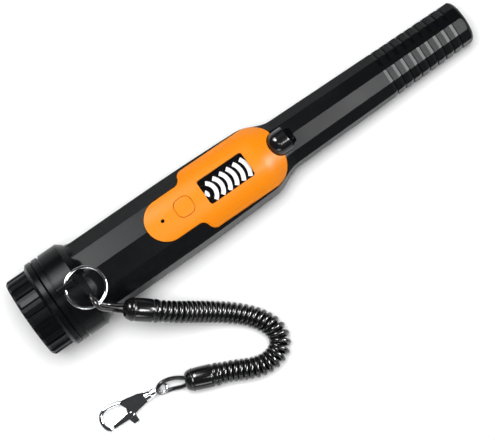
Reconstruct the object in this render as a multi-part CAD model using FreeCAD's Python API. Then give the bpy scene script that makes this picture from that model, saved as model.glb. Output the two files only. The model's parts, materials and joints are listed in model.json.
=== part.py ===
"""Hand-held pinpointer probe with a coiled lanyard. Writes one STEP file per sub-part, in millimetres.

Probe pieces are modelled about the probe's own axis: X runs from the cap to the tip, Z up, and X = 0 is the
face of the battery cap. lay_down() then sets them on the table, where the probe rests on its collar and on
the flat under the end of its handle. Lanyard pieces past the split ring are modelled where they lie.
"""
import FreeCAD, Part
import math
import os

V = FreeCAD.Vector
X_AXIS = V(1, 0, 0)
Y_AXIS = V(0, 1, 0)
Z_AXIS = V(0, 0, 1)

# ---- driving dimensions ---------------------------------------------------------------------------------
FACETS = 11                # flats round the housing, with a ridge on top and a flat underneath
HANDLE_R = 19.2            # axis to ridge
HANDLE_END_R = 17.9
SHAFT_R = 12.8
TIP_R = 11.0
HANDLE_STRAIGHT_X = 67.0   # where the handle starts to taper
SHOULDER_X = 126.0
SHOULDER_LENGTH = 16.5
TIP_X = 243.6
TIP_ROUND = 4.0
WALL = 2.0                 # housing wall at the middle of a flat

COLLAR_R = 21.9
COLLAR_X = 15.2            # front face of the collar
COLLAR_END_X = 28.8
COLLAR_CHAMFER = 2.9
NECK_LENGTH = 4.0          # the round flare between the collar and the flats
COLLAR_SOCKET_X = 21.6     # where the housing's spigot stops inside the collar
COLLAR_GROOVE_X = 18.2
COLLAR_GROOVE_WIDTH = 0.9
COLLAR_GROOVE_DEPTH = 0.7
SPIGOT_R = 18.9

CAP_R = 20.1
CAP_FACE_THICKNESS = 2.2
CAP_GRIP_LENGTH = 10.6     # ribbed length
CAP_RIBS = 24
RIB_GROOVE_DEPTH = 1.15
RIB_GROOVE_WIDTH = 2.9
CAP_GAP = 0.2              # cap to collar

NOSE_X = 5.0               # free end of the threaded nose
NOSE_ROOT_R = 17.3
THREAD_PITCH = 4.0
THREAD_TURNS = 1.6
THREAD_HEIGHT = 0.8
THREAD_ROOT_WIDTH = 1.9
THREAD_CREST_WIDTH = 1.0
THREAD_CLEARANCE = 0.2
THREAD_FLATS = 50          # short flats along the whole ridge
THREAD_SINK = 0.3          # of the ridge's root into the nose
O_RING_X = 13.9
O_RING_SECTION_R = 0.7
O_RING_CLEARANCE = 0.05

BATTERY_LENGTH = 48.5
BATTERY_WIDTH = 26.5
BATTERY_HEIGHT = 17.5
BATTERY_CORNER = 1.5
BORE_CLEARANCE = 0.35      # battery corner to bore

LUG_X = 18.2
LUG_LENGTH = 9.6
LUG_WIDTH = 2.8
LUG_POST = 1.6
LUG_HOLE_HEIGHT = 2.7
LUG_BAR = 1.4

RING_MEAN_R = 9.3
RING_WIRE_WIDTH = 1.3
RING_WIRE_HEIGHT = 0.95
RING_ROLL = 4.0            # the ring leans to the lanyard's side, in degrees
RING_PITCH = 7.0           # and down towards the handle

PANEL_X = 67.2
PANEL_END_X = 138.6
PANEL_NARROW = 10.1        # half width round the button
PANEL_WIDE = 15.6          # half width round the display
PANEL_STEP_X = 88.6
PANEL_STEP_LENGTH = 7.0
PANEL_CORNER_X = 127.5
PANEL_END_HALF = 7.0
PANEL_PROUD = 0.45
PANEL_GAP = 0.25
PANEL_SEAT = 0.9           # depth of the pocket floor below the middle of a flat
GASKET = 0.4

WINDOW_END_X = 122.4       # stays clear of the board's end screws
WINDOW_LENGTH = 24.4
WINDOW_X = WINDOW_END_X - WINDOW_LENGTH / 2
WINDOW_WIDTH = 12.6
WINDOW_CORNER = 1.3
WINDOW_LIP = 1.1
WINDOW_THICKNESS = 1.0
WINDOW_BEVEL = 0.55        # of the panel round the window
WINDOW_RECESS = 0.6        # glass below the crown of the panel
DISPLAY_THICKNESS = 2.6

BUTTON_X = 87.3
BUTTON_SIZE = 8.8
BUTTON_CORNER = 3.3
BUTTON_TRAVEL = 0.8
BUTTON_FLANGE = 1.0
BUTTON_CLEARANCE = 0.2
LIGHT_X = 75.6
LIGHT_R = 0.85

TORCH_R = 5.9
TORCH_Z = 12.8
TORCH_BACK_X = 133.6
TORCH_FRONT_X = 143.9
TORCH_WALL = 0.8
CRADLE_WALL = 1.2
SCOOP_LENGTH = 3.4
SCOOP_R = 5.3
SCOOP_END_R = 3.6

GRIP_STEPS = 9
GRIP_X = 197.8             # where the first ramp starts
GRIP_PITCH = 4.62
GRIP_RAMP = 1.9
GRIP_DEPTH = 0.5
GRIP_RIB_WIDTH = 2.3       # the plain strip beside the ridge

BOARD_X = 72.5
BOARD_END_X = 126.5
BOARD_HALF = 8.2
BOARD_Z = 8.6
BOARD_THICKNESS = 1.6

SCREW_R = 1.45
SCREW_HEAD_R = 2.6
SCREW_HEAD_H = 1.9
PILLAR_R = 3.9
BOSS_R = 2.7
SCREW_SEAT_Z = -6.0
SCREW_DEPTH = 7.0
HANDLE_SCREWS = [(69.5, 12.2), (129.5, 10.6)]
SHAFT_SCREWS = [(155.5, 6.0)]
SHAFT_SCALE = 0.72         # the shaft's screws are smaller in diameter

ROD_X = 168.0
ROD_LENGTH = 66.0
ROD_R = 4.0
BOBBIN_WALL = 1.2
BOBBIN_FLANGE = 1.6
FLANGE_R = 7.6
WINDING = 1.9

MOTOR_X = 96.0
MOTOR_LENGTH = 14.0
MOTOR_R = 3.6
MOTOR_Z = -8.0
MOTOR_SHAFT_R = 0.6
MOTOR_SHAFT_GAP = 0.05
LEAD_R = 0.7

SEAL_HALF = 0.3
SEAL_INSET = 0.7
TOUCH = 0.05               # slip fit between pieces that do not move

# lanyard
CORD_R = 1.0               # loop cord
COIL_R = 5.25              # outside of the coiled cord
FERRULE_R = 5.5
FERRULE_LENGTH = 16.0
FERRULE_NOSE = 3.6
STRAND_GAP = 3.4           # between the two strands of a loop
RING_FERRULE_LIFT = 2.7     # above the collar's radius, so that the cord rises with the probe
RING_FERRULE_END = V(-70.4, -30.9, COLLAR_R + RING_FERRULE_LIFT)
COIL_ROUTE = [
    RING_FERRULE_END, V(-64.9, -35.2, 21.8), V(-58.6, -39.3, 16.6), V(-52.1, -43.6, 11.2), V(-45.4, -48.5, 7.2),
    V(-38.9, -54.3, 5.5), V(-34.3, -60.4, 5.5), V(-31.2, -67.6, 5.5), V(-32.9, -74.6, 5.5), V(-39.2, -78.2, 5.5),
    V(-46.6, -78.0, 5.5), V(-53.4, -75.1, 5.5), V(-59.1, -71.9, 5.6), V(-65.0, -69.5, 5.6),
]
EYE_CENTRE = V(-90.4, -59.6, 3.15)
HOOK_TOWARDS = V(-126.2, -55.7, 1.45)
RING_LOOP_ANGLE = -92.0    # where the loop hangs on the ring
RING_LOOP_REACH = 3.0
RING_LOOP_LIFT = 2.4       # of its middle, to clear the handle
LOOP_LEAN = 45.0           # the bight leans up off the collar, in degrees
LOOP_CLEARANCE = 0.12      # loop cord to the wire that it goes round

# snap hook, about its own swivel axis: X runs from the eye to the bow, Y to the gate side, Z up
EYE_R = 2.1                # centre line of the eye
EYE_WIRE_R = 0.75
SWIVEL_PIN_R = 1.1
SWIVEL_GAP = 0.1
BARREL_R = 2.3
BARREL_X = 4.2
BARREL_LENGTH = 5.0
HOOK_PLATE_X = 9.6
HOOK_PLATE_END = 19.4
HOOK_THICKNESS = 3.0
BOW_WIRE_R = 1.15
BOW_CENTRE = V(27.6, 1.0, 0)
BOW_R = 5.0
GATE_PIVOT = V(18.4, 4.1, 0)
GATE_PIN_R = 0.7
GATE_THICKNESS = 1.2
LEVER_REACH = 4.4

# ---- values worked out from them ------------------------------------------------------------------------
FLAT = math.cos(math.pi / FACETS)                 # middle of a flat over ridge radius
BORE_R = math.hypot(BATTERY_WIDTH, BATTERY_HEIGHT) / 2 - 0.41 * BATTERY_CORNER + BORE_CLEARANCE
CREST_R = NOSE_ROOT_R + THREAD_HEIGHT
THREAD_X = NOSE_X + THREAD_ROOT_WIDTH / 2 + 0.3
CAP_BORE_R = NOSE_ROOT_R + THREAD_CLEARANCE
CAP_END_X = COLLAR_X - CAP_GAP
SHOULDER_END_X = SHOULDER_X + SHOULDER_LENGTH
BATTERY_X = NOSE_X - 0.3
BATTERY_END_X = BATTERY_X + BATTERY_LENGTH
SNAP_X = BATTERY_END_X + 0.1
SNAP_THICKNESS = 3.4
BULKHEAD_X = BATTERY_END_X + 6.0
UNSCREW = CAP_END_X - NOSE_X + 0.2                # travel that frees the cap
ROD_END_X = ROD_X + ROD_LENGTH
BOARD_TOP = BOARD_Z + BOARD_THICKNESS


def ridge(x):
    """Distance from the axis to a ridge of the housing at x."""
    if x <= HANDLE_STRAIGHT_X:
        return HANDLE_R
    if x <= SHOULDER_X:
        share = (x - HANDLE_STRAIGHT_X) / (SHOULDER_X - HANDLE_STRAIGHT_X)
        return HANDLE_R - (HANDLE_R - HANDLE_END_R) * share ** 2
    if x <= SHOULDER_END_X:
        share = (x - SHOULDER_X) / SHOULDER_LENGTH
        return HANDLE_END_R - (HANDLE_END_R - SHAFT_R) * (1 - math.cos(math.pi * share)) / 2
    share = (x - SHOULDER_END_X) / (TIP_X - SHOULDER_END_X)
    return SHAFT_R - (SHAFT_R - TIP_R) * share


def flat(x):
    """Distance from the axis to the middle of a flat at x."""
    return ridge(x) * FLAT


def stations(start, end):
    """Section places that follow the taper and the shoulder between start and end."""
    taper = [HANDLE_STRAIGHT_X + (SHOULDER_X - HANDLE_STRAIGHT_X) * i / 4 for i in range(4)]
    shoulder = [SHOULDER_X + SHOULDER_LENGTH * i / 8 for i in range(9)]
    inside = [x for x in taper + shoulder if start + 0.01 < x < end - 0.01]
    return [start] + inside + [end]


# ---- small modelling helpers ----------------------------------------------------------------------------
def turned(points, axis_z=0.0):
    """Solid of revolution about X from (x, radius) points, about a line at height axis_z."""
    wire = Part.makePolygon([V(x, 0, r) for x, r in points] + [V(points[0][0], 0, points[0][1])])
    solid = Part.Face(wire).revolve(V(0, 0, 0), X_AXIS, 360)
    solid.translate(V(0, 0, axis_z))
    return solid


def rod(x0, x1, radius, y=0.0, z=0.0):
    """Cylinder along X."""
    return Part.makeCylinder(radius, x1 - x0, V(x0, y, z), X_AXIS)


def tube(x0, x1, inner, outer, y=0.0, z=0.0):
    """Hollow cylinder along X."""
    return rod(x0, x1, outer, y, z).cut(rod(x0 - 1, x1 + 1, inner, y, z))


def post(x, y, z0, z1, radius):
    """Cylinder along Z."""
    return Part.makeCylinder(radius, z1 - z0, V(x, y, z0), Z_AXIS)


def block(x0, x1, y0, y1, z0, z1):
    return Part.makeBox(x1 - x0, y1 - y0, z1 - z0, V(x0, y0, z0))


def rounded_block(x, y, length, width, z0, z1, corner):
    """Upright block centred on x, y with round vertical corners."""
    body = block(x - length / 2, x + length / 2, y - width / 2, y + width / 2, z0, z1)
    upright = [e for e in body.Edges if abs(e.Vertexes[0].Z - e.Vertexes[1].Z) > 0.5 * (z1 - z0)]
    return body.makeFillet(corner, upright)


def fuse(first, *others):
    return first.multiFuse(list(others)).removeSplitter()


def facet_wire(x, radius):
    points = []
    for i in range(FACETS):
        angle = math.pi / 2 + 2 * math.pi * i / FACETS
        points.append(V(x, radius * math.cos(angle), radius * math.sin(angle)))
    return Part.makePolygon(points + [points[0]])


def facet_solid(start, end, inset=0.0):
    """The faceted housing form between start and end, its flats moved in by inset."""
    wires = [facet_wire(x, ridge(x) - inset / FLAT) for x in stations(start, end)]
    return Part.makeLoft(wires, True, True)


def round_form(start, end, offset):
    """Body of revolution whose radius is the ridge radius plus offset."""
    points = [(x, ridge(x) + offset) for x in stations(start, end)]
    return turned([(start, 0)] + points + [(end, 0)])


def flat_form(start, end, depth):
    """Body of revolution that lies depth below the middle of each flat."""
    points = [(x, flat(x) - depth) for x in stations(start, end)]
    return turned([(start, 0)] + points + [(end, 0)])


def frame_at(origin, towards):
    """Placement that takes local +X to towards, keeping local Z as high as it can be."""
    x_dir = V(towards).normalize()
    y_dir = Z_AXIS.cross(x_dir).normalize()
    z_dir = x_dir.cross(y_dir)
    return FreeCAD.Placement(origin, FreeCAD.Rotation(x_dir, y_dir, z_dir, "XYZ"))


def cord_path(points):
    """Straight runs joined by tangent arcs. Returns the wire and the radius of each arc."""
    edges = []
    radii = []
    start = points[0]
    for before, corner, after in zip(points, points[1:], points[2:]):
        into = corner - before
        out = after - corner
        run = min(into.Length, out.Length)
        into.normalize()
        out.normalize()
        turn = into.getAngle(out)
        radius = 0.45 * run / math.tan(turn / 2)
        back = 0.45 * run
        first = corner - into * back
        last = corner + out * back
        bisector = (out - into).normalize()
        middle = corner + bisector * (radius / math.cos(turn / 2) - radius)
        edges.append(Part.LineSegment(start, first).toShape())
        edges.append(Part.Arc(first, middle, last).toShape())
        radii.append(radius)
        start = last
    edges.append(Part.LineSegment(start, points[-1]).toShape())
    return Part.Wire(edges), radii


def cord_tube(name, points, radius):
    """Round tube along a path of runs and arcs. Prints its radii and checks its volume."""
    path, radii = cord_path(points)
    start = Part.Wire(Part.makeCircle(radius, points[0], points[1] - points[0]))
    solid = path.makePipeShell([start], True, True)
    share = solid.Volume / (math.pi * radius ** 2 * path.Length)
    print(f"{name}: length {path.Length:.1f} mm, volume share {share:.3f}, radii "
          + " ".join(f"{r:.1f}" for r in radii))
    return solid


def thread_ridge(grow):
    """Helical ridge on the nose in short flats, made larger all round by grow for the groove that takes it."""
    root = THREAD_ROOT_WIDTH / 2 + grow
    crest = THREAD_CREST_WIDTH / 2 + grow
    inner = NOSE_ROOT_R - THREAD_SINK
    outer = CREST_R + grow
    corners = [(inner, -root), (inner, root), (outer, crest), (outer, -crest)]
    sections = []
    for i in range(THREAD_FLATS + 1):
        turn = 2 * math.pi * THREAD_TURNS * i / THREAD_FLATS
        centre_x = THREAD_X + THREAD_PITCH * turn / (2 * math.pi)
        sections.append([V(centre_x + x, r * math.sin(turn), -r * math.cos(turn)) for r, x in corners])
    faces = [Part.Face(Part.makePolygon(sections[0] + sections[0][:1])),
             Part.Face(Part.makePolygon(sections[-1] + sections[-1][:1]))]
    for a, b in zip(sections, sections[1:]):
        for k in range(len(corners)):
            n = (k + 1) % len(corners)
            faces.append(Part.Face(Part.makePolygon([a[k], a[n], b[n], a[k]])))
            faces.append(Part.Face(Part.makePolygon([a[k], b[n], b[k], a[k]])))
    solid = Part.makeSolid(Part.makeShell(faces))
    if solid.Volume < 0:
        solid.reverse()
    return solid


# ---- battery cap ----------------------------------------------------------------------------------------
def battery_cap():
    flange_x = CAP_GRIP_LENGTH + 1.6
    outside = turned([(-0.9, 0), (-0.6, 0.62 * CAP_R), (0, CAP_R - 1.2), (1.2, CAP_R), (CAP_GRIP_LENGTH, CAP_R),
                      (flange_x, COLLAR_R), (CAP_END_X - 0.4, COLLAR_R), (CAP_END_X, COLLAR_R - 0.4), (CAP_END_X, 0)])
    for i in range(CAP_RIBS):
        top = CAP_R + 0.4
        floor = CAP_R - RIB_GROOVE_DEPTH
        half = RIB_GROOVE_WIDTH / 2
        shape = Part.makePolygon([V(-2, -half * 0.62, floor), V(-2, half * 0.62, floor), V(-2, half * 1.1, top),
                                  V(-2, -half * 1.1, top), V(-2, -half * 0.62, floor)])
        groove = Part.Face(shape).extrude(V(2 + CAP_GRIP_LENGTH, 0, 0))
        groove.rotate(V(0, 0, 0), X_AXIS, 360 * (i + 0.5) / CAP_RIBS)
        outside = outside.cut(groove)
    seal_r = CREST_R + O_RING_CLEARANCE + 2 * O_RING_SECTION_R + O_RING_CLEARANCE
    seal_x = O_RING_X - O_RING_SECTION_R - 0.3
    hollow = turned([(CAP_FACE_THICKNESS, 0), (CAP_FACE_THICKNESS, CAP_BORE_R), (seal_x - 0.8, CAP_BORE_R),
                     (seal_x - 0.8, CREST_R + THREAD_CLEARANCE), (seal_x, CREST_R + THREAD_CLEARANCE),
                     (seal_x, seal_r), (CAP_END_X + 1, seal_r), (CAP_END_X + 1, 0)])
    entry = thread_ridge(THREAD_CLEARANCE)
    lead = entry.copy()
    lead.translate(V(THREAD_PITCH, 0, 0))
    return outside.cut(hollow).cut(entry).cut(lead)


def cap_pad():
    return rod(CAP_FACE_THICKNESS, NOSE_X - 0.5, BORE_R - 1.0)


def cap_o_ring():
    centre_r = CREST_R + O_RING_CLEARANCE + O_RING_SECTION_R
    return Part.makeTorus(centre_r, O_RING_SECTION_R, V(O_RING_X, 0, 0), X_AXIS)


# ---- collar ---------------------------------------------------------------------------------------------
def collar_ring():
    chamfer_x = COLLAR_END_X + COLLAR_CHAMFER
    neck_r = HANDLE_R + 0.5
    nose_seat_x = O_RING_X - O_RING_SECTION_R - 0.8
    outer = turned([(NOSE_X, 0), (NOSE_X, NOSE_ROOT_R - 0.4), (NOSE_X + 0.4, NOSE_ROOT_R), (nose_seat_x, NOSE_ROOT_R),
                    (nose_seat_x, CREST_R), (COLLAR_X, CREST_R), (COLLAR_X, COLLAR_R - 0.4),
                    (COLLAR_X + 0.4, COLLAR_R), (COLLAR_GROOVE_X, COLLAR_R),
                    (COLLAR_GROOVE_X + 0.2, COLLAR_R - COLLAR_GROOVE_DEPTH),
                    (COLLAR_GROOVE_X + COLLAR_GROOVE_WIDTH, COLLAR_R - COLLAR_GROOVE_DEPTH),
                    (COLLAR_GROOVE_X + COLLAR_GROOVE_WIDTH + 0.2, COLLAR_R), (COLLAR_END_X, COLLAR_R),
                    (chamfer_x, neck_r), (chamfer_x, 0)])
    bore = rod(NOSE_X - 1, COLLAR_SOCKET_X, BORE_R)
    socket = rod(COLLAR_SOCKET_X, chamfer_x + 1, SPIGOT_R + TOUCH)
    body = outer.fuse(thread_ridge(0)).cut(rod(NOSE_X - 3, NOSE_X, CREST_R + 1)).cut(bore).cut(socket)
    foot_z = COLLAR_R - 1.2
    bar_z = COLLAR_R + LUG_HOLE_HEIGHT
    top_z = bar_z + LUG_BAR
    half = LUG_WIDTH / 2
    lug_end = LUG_X + LUG_LENGTH
    lug = block(LUG_X, lug_end, -half, half, foot_z, top_z)
    ends = [e for e in lug.Edges if abs(e.Vertexes[0].Z - top_z) < 0.01 and abs(e.Vertexes[1].Z - top_z) < 0.01]
    lug = lug.makeFillet(LUG_BAR * 0.6, ends)
    hole = block(LUG_X + LUG_POST, lug_end - LUG_POST, -half - 1, half + 1, COLLAR_R, bar_z)
    lug = lug.cut(hole).cut(rod(LUG_X - 1, lug_end + 1, COLLAR_R - 0.8))
    return fuse(body, lug)


# ---- housing --------------------------------------------------------------------------------------------
def grip_cutters():
    """One sawtooth ring for each step: a ramp that sinks into the flats and ends in a step."""
    cutters = []
    for i in range(GRIP_STEPS):
        x0 = GRIP_X + GRIP_PITCH * i
        x1 = x0 + GRIP_RAMP
        core = Part.makeLoft([facet_wire(x0 - 0.2, ridge(x0)), facet_wire(x1, ridge(x1) - GRIP_DEPTH / FLAT)],
                             True, True)
        ring = rod(x0, x1, SHAFT_R + 1).cut(core)
        cutters.append(ring.cut(block(x0 - 1, x1 + 1, 0, GRIP_RIB_WIDTH, 0, SHAFT_R + 2)))
    return cutters


def torch_form(grow):
    """Bullet of the torch, with its round end towards the cap."""
    radius = TORCH_R + grow
    centre_x = TORCH_BACK_X + TORCH_R
    slant = radius * math.sqrt(0.5)
    round_end = Part.Arc(V(centre_x - radius, 0, 0), V(centre_x - slant, 0, slant), V(centre_x, 0, radius)).toShape()
    rest = Part.makePolygon([V(centre_x, 0, radius), V(TORCH_FRONT_X, 0, radius), V(TORCH_FRONT_X, 0, 0),
                             V(centre_x - radius, 0, 0)])
    solid = Part.Face(Part.Wire([round_end] + rest.Edges)).revolve(V(0, 0, 0), X_AXIS, 360)
    solid.translate(V(0, 0, TORCH_Z))
    return solid


def panel_plan(grow, z0, z1):
    """Upright prism on the outline of the face panel."""
    narrow = PANEL_NARROW + grow
    wide = PANEL_WIDE + grow
    end_x = PANEL_END_X + grow
    end_half = PANEL_END_HALF + grow
    step_end = PANEL_STEP_X + PANEL_STEP_LENGTH - grow * 0.5
    step_x = PANEL_STEP_X - grow * 0.5
    nose_x = PANEL_X + PANEL_NARROW
    middle = V((step_x + step_end) / 2, (narrow + wide) / 2, z0)
    half_step = V(step_end - step_x, wide - narrow, 0) / 2
    bend_r = half_step.Length ** 2 / (2 * half_step.y)
    lean = math.asin(half_step.x / bend_r) / 2
    first = V(step_x + bend_r * math.sin(lean), narrow + bend_r * (1 - math.cos(lean)), z0)
    second = V(step_end - bend_r * math.sin(lean), wide - bend_r * (1 - math.cos(lean)), z0)
    corner_dx = end_x - PANEL_CORNER_X
    corner_r = (corner_dx ** 2 + (wide - end_half) ** 2) / (2 * (wide - end_half))
    turn = math.asin(corner_dx / corner_r) / 2
    corner_mid = V(PANEL_CORNER_X + corner_r * math.sin(turn), wide - corner_r * (1 - math.cos(turn)), z0)
    side = [
        Part.LineSegment(V(nose_x, narrow, z0), V(step_x, narrow, z0)).toShape(),
        Part.Arc(V(step_x, narrow, z0), first, middle).toShape(),
        Part.Arc(middle, second, V(step_end, wide, z0)).toShape(),
        Part.LineSegment(V(step_end, wide, z0), V(PANEL_CORNER_X, wide, z0)).toShape(),
        Part.Arc(V(PANEL_CORNER_X, wide, z0), corner_mid, V(end_x, end_half, z0)).toShape()]
    other = [e.mirror(V(0, 0, 0), Y_AXIS) for e in side]
    end = Part.LineSegment(V(end_x, end_half, z0), V(end_x, -end_half, z0)).toShape()
    nose = Part.Arc(V(nose_x, -narrow, z0), V(nose_x - narrow, 0, z0), V(nose_x, narrow, z0)).toShape()
    outline = Part.Wire(Part.__sortEdges__(side + [end] + other + [nose]))
    return Part.Face(outline).extrude(V(0, 0, z1 - z0))


def screw_places(pairs):
    return [(x, side * y) for x, y in pairs for side in (1, -1)]


def housing_form():
    """Whole outside of the housing, before it is split: spigot, neck, flats, rounded tip and grip steps."""
    neck_x = COLLAR_END_X + COLLAR_CHAMFER
    spigot = rod(COLLAR_SOCKET_X, neck_x + 0.5, SPIGOT_R)
    flats = facet_solid(neck_x, TIP_X)
    neck = turned([(neck_x, 0), (neck_x, HANDLE_R + 0.1), (neck_x + NECK_LENGTH, flat(neck_x) - 0.1), (neck_x + NECK_LENGTH, 0)])
    rounder = rod(0, TIP_X, HANDLE_R + 2)
    nose_profile = rod(SHOULDER_END_X, TIP_X, TIP_R * FLAT + 0.75)
    rim = [e for e in nose_profile.Edges if abs(e.BoundBox.XMin - TIP_X) < 0.01 and abs(e.BoundBox.XMax - TIP_X) < 0.01]
    nose_profile = nose_profile.makeFillet(TIP_ROUND, rim)
    tip_zone = block(TIP_X - TIP_ROUND - 0.6, TIP_X + 1, -30, 30, -30, 30)
    body = spigot.fuse(flats).fuse(neck).common(rounder)
    for cutter in grip_cutters():
        body = body.cut(cutter)
    rounded_tip = body.common(tip_zone).common(nose_profile)
    return body.cut(tip_zone).fuse(rounded_tip).removeSplitter()


def cavity_form(grow=0.0):
    """Round hollow of the housing: the battery's bore, then a wider bay from the bulkhead to the tip."""
    start = COLLAR_SOCKET_X - 1
    end_x = TIP_X - WALL
    bay = [(x, flat(x) - WALL + grow) for x in stations(BULKHEAD_X, end_x - 3)]
    bore = [(start, 0), (start, BORE_R + grow), (BULKHEAD_X, BORE_R + grow)]
    return turned(bore + bay + [(end_x, bay[-1][1] - 2.5), (end_x, 0)])


def shell_seal():
    x0 = COLLAR_END_X + COLLAR_CHAMFER + 1.5
    x1 = TIP_X - 1.0
    slab = block(x0, x1, -30, 30, -SEAL_HALF, SEAL_HALF)
    return facet_solid(x0, x1, SEAL_INSET).common(slab).cut(cavity_form(0.5))


def upper_half():
    return block(0, TIP_X + 5, -30, 30, 0, 30)


def lower_half():
    return block(0, TIP_X + 5, -30, 30, -30, 0)


def upper_shell(form):
    cavity = cavity_form()
    shell = form.common(upper_half()).cut(cavity)
    inside = cavity.common(upper_half())
    bosses = []
    for x, y in screw_places(HANDLE_SCREWS):
        bosses.append(post(x, y, 0, 14, BOSS_R).common(inside))
    for x, y in screw_places(SHAFT_SCREWS):
        bosses.append(post(x, y, 0, 9, BOSS_R * SHAFT_SCALE).common(inside))
    cradle = rod(TORCH_BACK_X - CRADLE_WALL, TORCH_FRONT_X + SCOOP_LENGTH + 1, TORCH_R + CRADLE_WALL, 0, TORCH_Z)
    shell = fuse(shell, cradle.common(inside), *bosses)
    pocket = panel_plan(PANEL_GAP, 0, 30).cut(flat_form(PANEL_X - 5, PANEL_END_X + 5, PANEL_SEAT))
    shell = shell.cut(pocket).cut(torch_form(TOUCH))
    scoop = Part.makeCone(SCOOP_R, SCOOP_END_R, SCOOP_LENGTH, V(TORCH_FRONT_X, 0, TORCH_Z + 0.6), X_AXIS)
    shell = shell.cut(scoop)
    window = WINDOW_LIP + TOUCH
    shell = shell.cut(rounded_block(WINDOW_X, 0, WINDOW_LENGTH + 2 * window, WINDOW_WIDTH + 2 * window, 5, 30, 1.5))
    button = BUTTON_FLANGE + BUTTON_CLEARANCE + 0.1
    opening = BUTTON_SIZE + 2 * button
    shell = shell.cut(rounded_block(BUTTON_X, 0, opening, opening, 5, 30, BUTTON_CORNER))
    shell = shell.cut(post(LIGHT_X, 0, 5, 30, 1.7))
    for x, y in screw_places(HANDLE_SCREWS):
        shell = shell.cut(post(x, y, -1, SCREW_DEPTH, SCREW_R))
    for x, y in screw_places(SHAFT_SCREWS):
        shell = shell.cut(post(x, y, -1, SCREW_DEPTH - 1.5, SCREW_R * SHAFT_SCALE))
    return shell


def lower_shell(form):
    cavity = cavity_form()
    shell = form.common(lower_half()).cut(cavity)
    inside = form.common(lower_half())
    for x, y in screw_places(HANDLE_SCREWS):
        shell = shell.fuse(post(x, y, -25, 0, PILLAR_R).common(inside))
    for x, y in screw_places(SHAFT_SCREWS):
        shell = shell.fuse(post(x, y, -25, 0, PILLAR_R * SHAFT_SCALE).common(inside))
    for x, y in screw_places(HANDLE_SCREWS):
        shell = shell.cut(post(x, y, -25, SCREW_SEAT_Z, SCREW_HEAD_R + 0.2)).cut(post(x, y, -25, 1, SCREW_R + TOUCH))
    for x, y in screw_places(SHAFT_SCREWS):
        head_r = SCREW_HEAD_R * SHAFT_SCALE + 0.15
        shell = shell.cut(post(x, y, -25, SCREW_SEAT_Z + 2, head_r))
        shell = shell.cut(post(x, y, -25, 1, SCREW_R * SHAFT_SCALE + TOUCH))
    return shell.removeSplitter()


def screw(x, y, seat_z, top_z, scale):
    """Pan-head screw that points up, with a cross recess."""
    head_r = SCREW_HEAD_R * scale
    body = post(x, y, seat_z - SCREW_HEAD_H * scale, seat_z, head_r)
    body = body.fuse(post(x, y, seat_z, top_z, SCREW_R * scale)).removeSplitter()
    slot = 0.35 * scale
    reach = 1.5 * scale
    base = seat_z - SCREW_HEAD_H * scale - 1
    depth = base + 1 + 1.0 * scale
    cross = block(x - reach, x + reach, y - slot, y + slot, base, depth)
    cross = cross.fuse(block(x - slot, x + slot, y - reach, y + reach, base, depth))
    return body.cut(cross)


def case_screws():
    screws = [screw(x, y, SCREW_SEAT_Z, SCREW_DEPTH - 0.5, 1.0) for x, y in screw_places(HANDLE_SCREWS)]
    screws += [screw(x, y, SCREW_SEAT_Z + 2, SCREW_DEPTH - 2.0, SHAFT_SCALE) for x, y in screw_places(SHAFT_SCREWS)]
    return Part.makeCompound(screws)


# ---- face panel, display and button ---------------------------------------------------------------------
def window_bevel():
    """Flared cut that leaves a slope round the window where it meets the crown of the panel."""
    low = window_top()
    high = low + WINDOW_BEVEL
    wires = []
    for z, grow in ((low, 0), (high, 2 * WINDOW_BEVEL)):
        sheet = rounded_block(WINDOW_X, 0, WINDOW_LENGTH + grow, WINDOW_WIDTH + grow, z, z + 1, WINDOW_CORNER + grow / 2)
        wires.append(min(sheet.Faces, key=lambda face: face.CenterOfMass.z).OuterWire)
    return Part.makeLoft(wires, True)


def face_panel():
    shell = round_form(PANEL_X - 5, PANEL_END_X + 5, PANEL_PROUD)
    shell = shell.cut(flat_form(PANEL_X - 6, PANEL_END_X + 6, PANEL_SEAT - GASKET))
    panel = shell.common(panel_plan(0, 0.5, 30))
    panel = panel.cut(torch_form(PANEL_GAP)).cut(rod(TORCH_FRONT_X - 1, TORCH_FRONT_X + 9, TORCH_R + 0.3, 0, TORCH_Z))
    panel = panel.cut(rounded_block(WINDOW_X, 0, WINDOW_LENGTH, WINDOW_WIDTH, 5, 30, WINDOW_CORNER))
    panel = panel.cut(window_bevel())
    hole = BUTTON_SIZE + 2 * BUTTON_CLEARANCE
    panel = panel.cut(rounded_block(BUTTON_X, 0, hole, hole, 5, 30, BUTTON_CORNER + BUTTON_CLEARANCE))
    return panel.cut(post(LIGHT_X, 0, 5, 30, LIGHT_R + TOUCH))


def panel_gasket():
    sheet = flat_form(PANEL_X - 5, PANEL_END_X + 5, PANEL_SEAT - GASKET).cut(
        flat_form(PANEL_X - 6, PANEL_END_X + 6, PANEL_SEAT))
    sheet = sheet.common(panel_plan(-0.8, 0.5, 30)).cut(torch_form(PANEL_GAP + 0.3))
    lip = WINDOW_LIP + 0.3
    sheet = sheet.cut(rounded_block(WINDOW_X, 0, WINDOW_LENGTH + 2 * lip, WINDOW_WIDTH + 2 * lip, 5, 30, 1.6))
    hole = BUTTON_SIZE + 2 * (BUTTON_FLANGE + BUTTON_CLEARANCE + 0.3)
    sheet = sheet.cut(rounded_block(BUTTON_X, 0, hole, hole, 5, 30, BUTTON_CORNER))
    return sheet.cut(post(LIGHT_X, 0, 5, 30, 2.0))


def window_top():
    return ridge(WINDOW_X) + PANEL_PROUD - WINDOW_RECESS - 0.5


def window_flange_z():
    """Underside of the panel at the window's outer edge."""
    reach = WINDOW_WIDTH / 2 + WINDOW_LIP
    return math.sqrt((flat(WINDOW_X + WINDOW_LENGTH / 2) - PANEL_SEAT) ** 2 - reach ** 2) - 0.1


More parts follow.
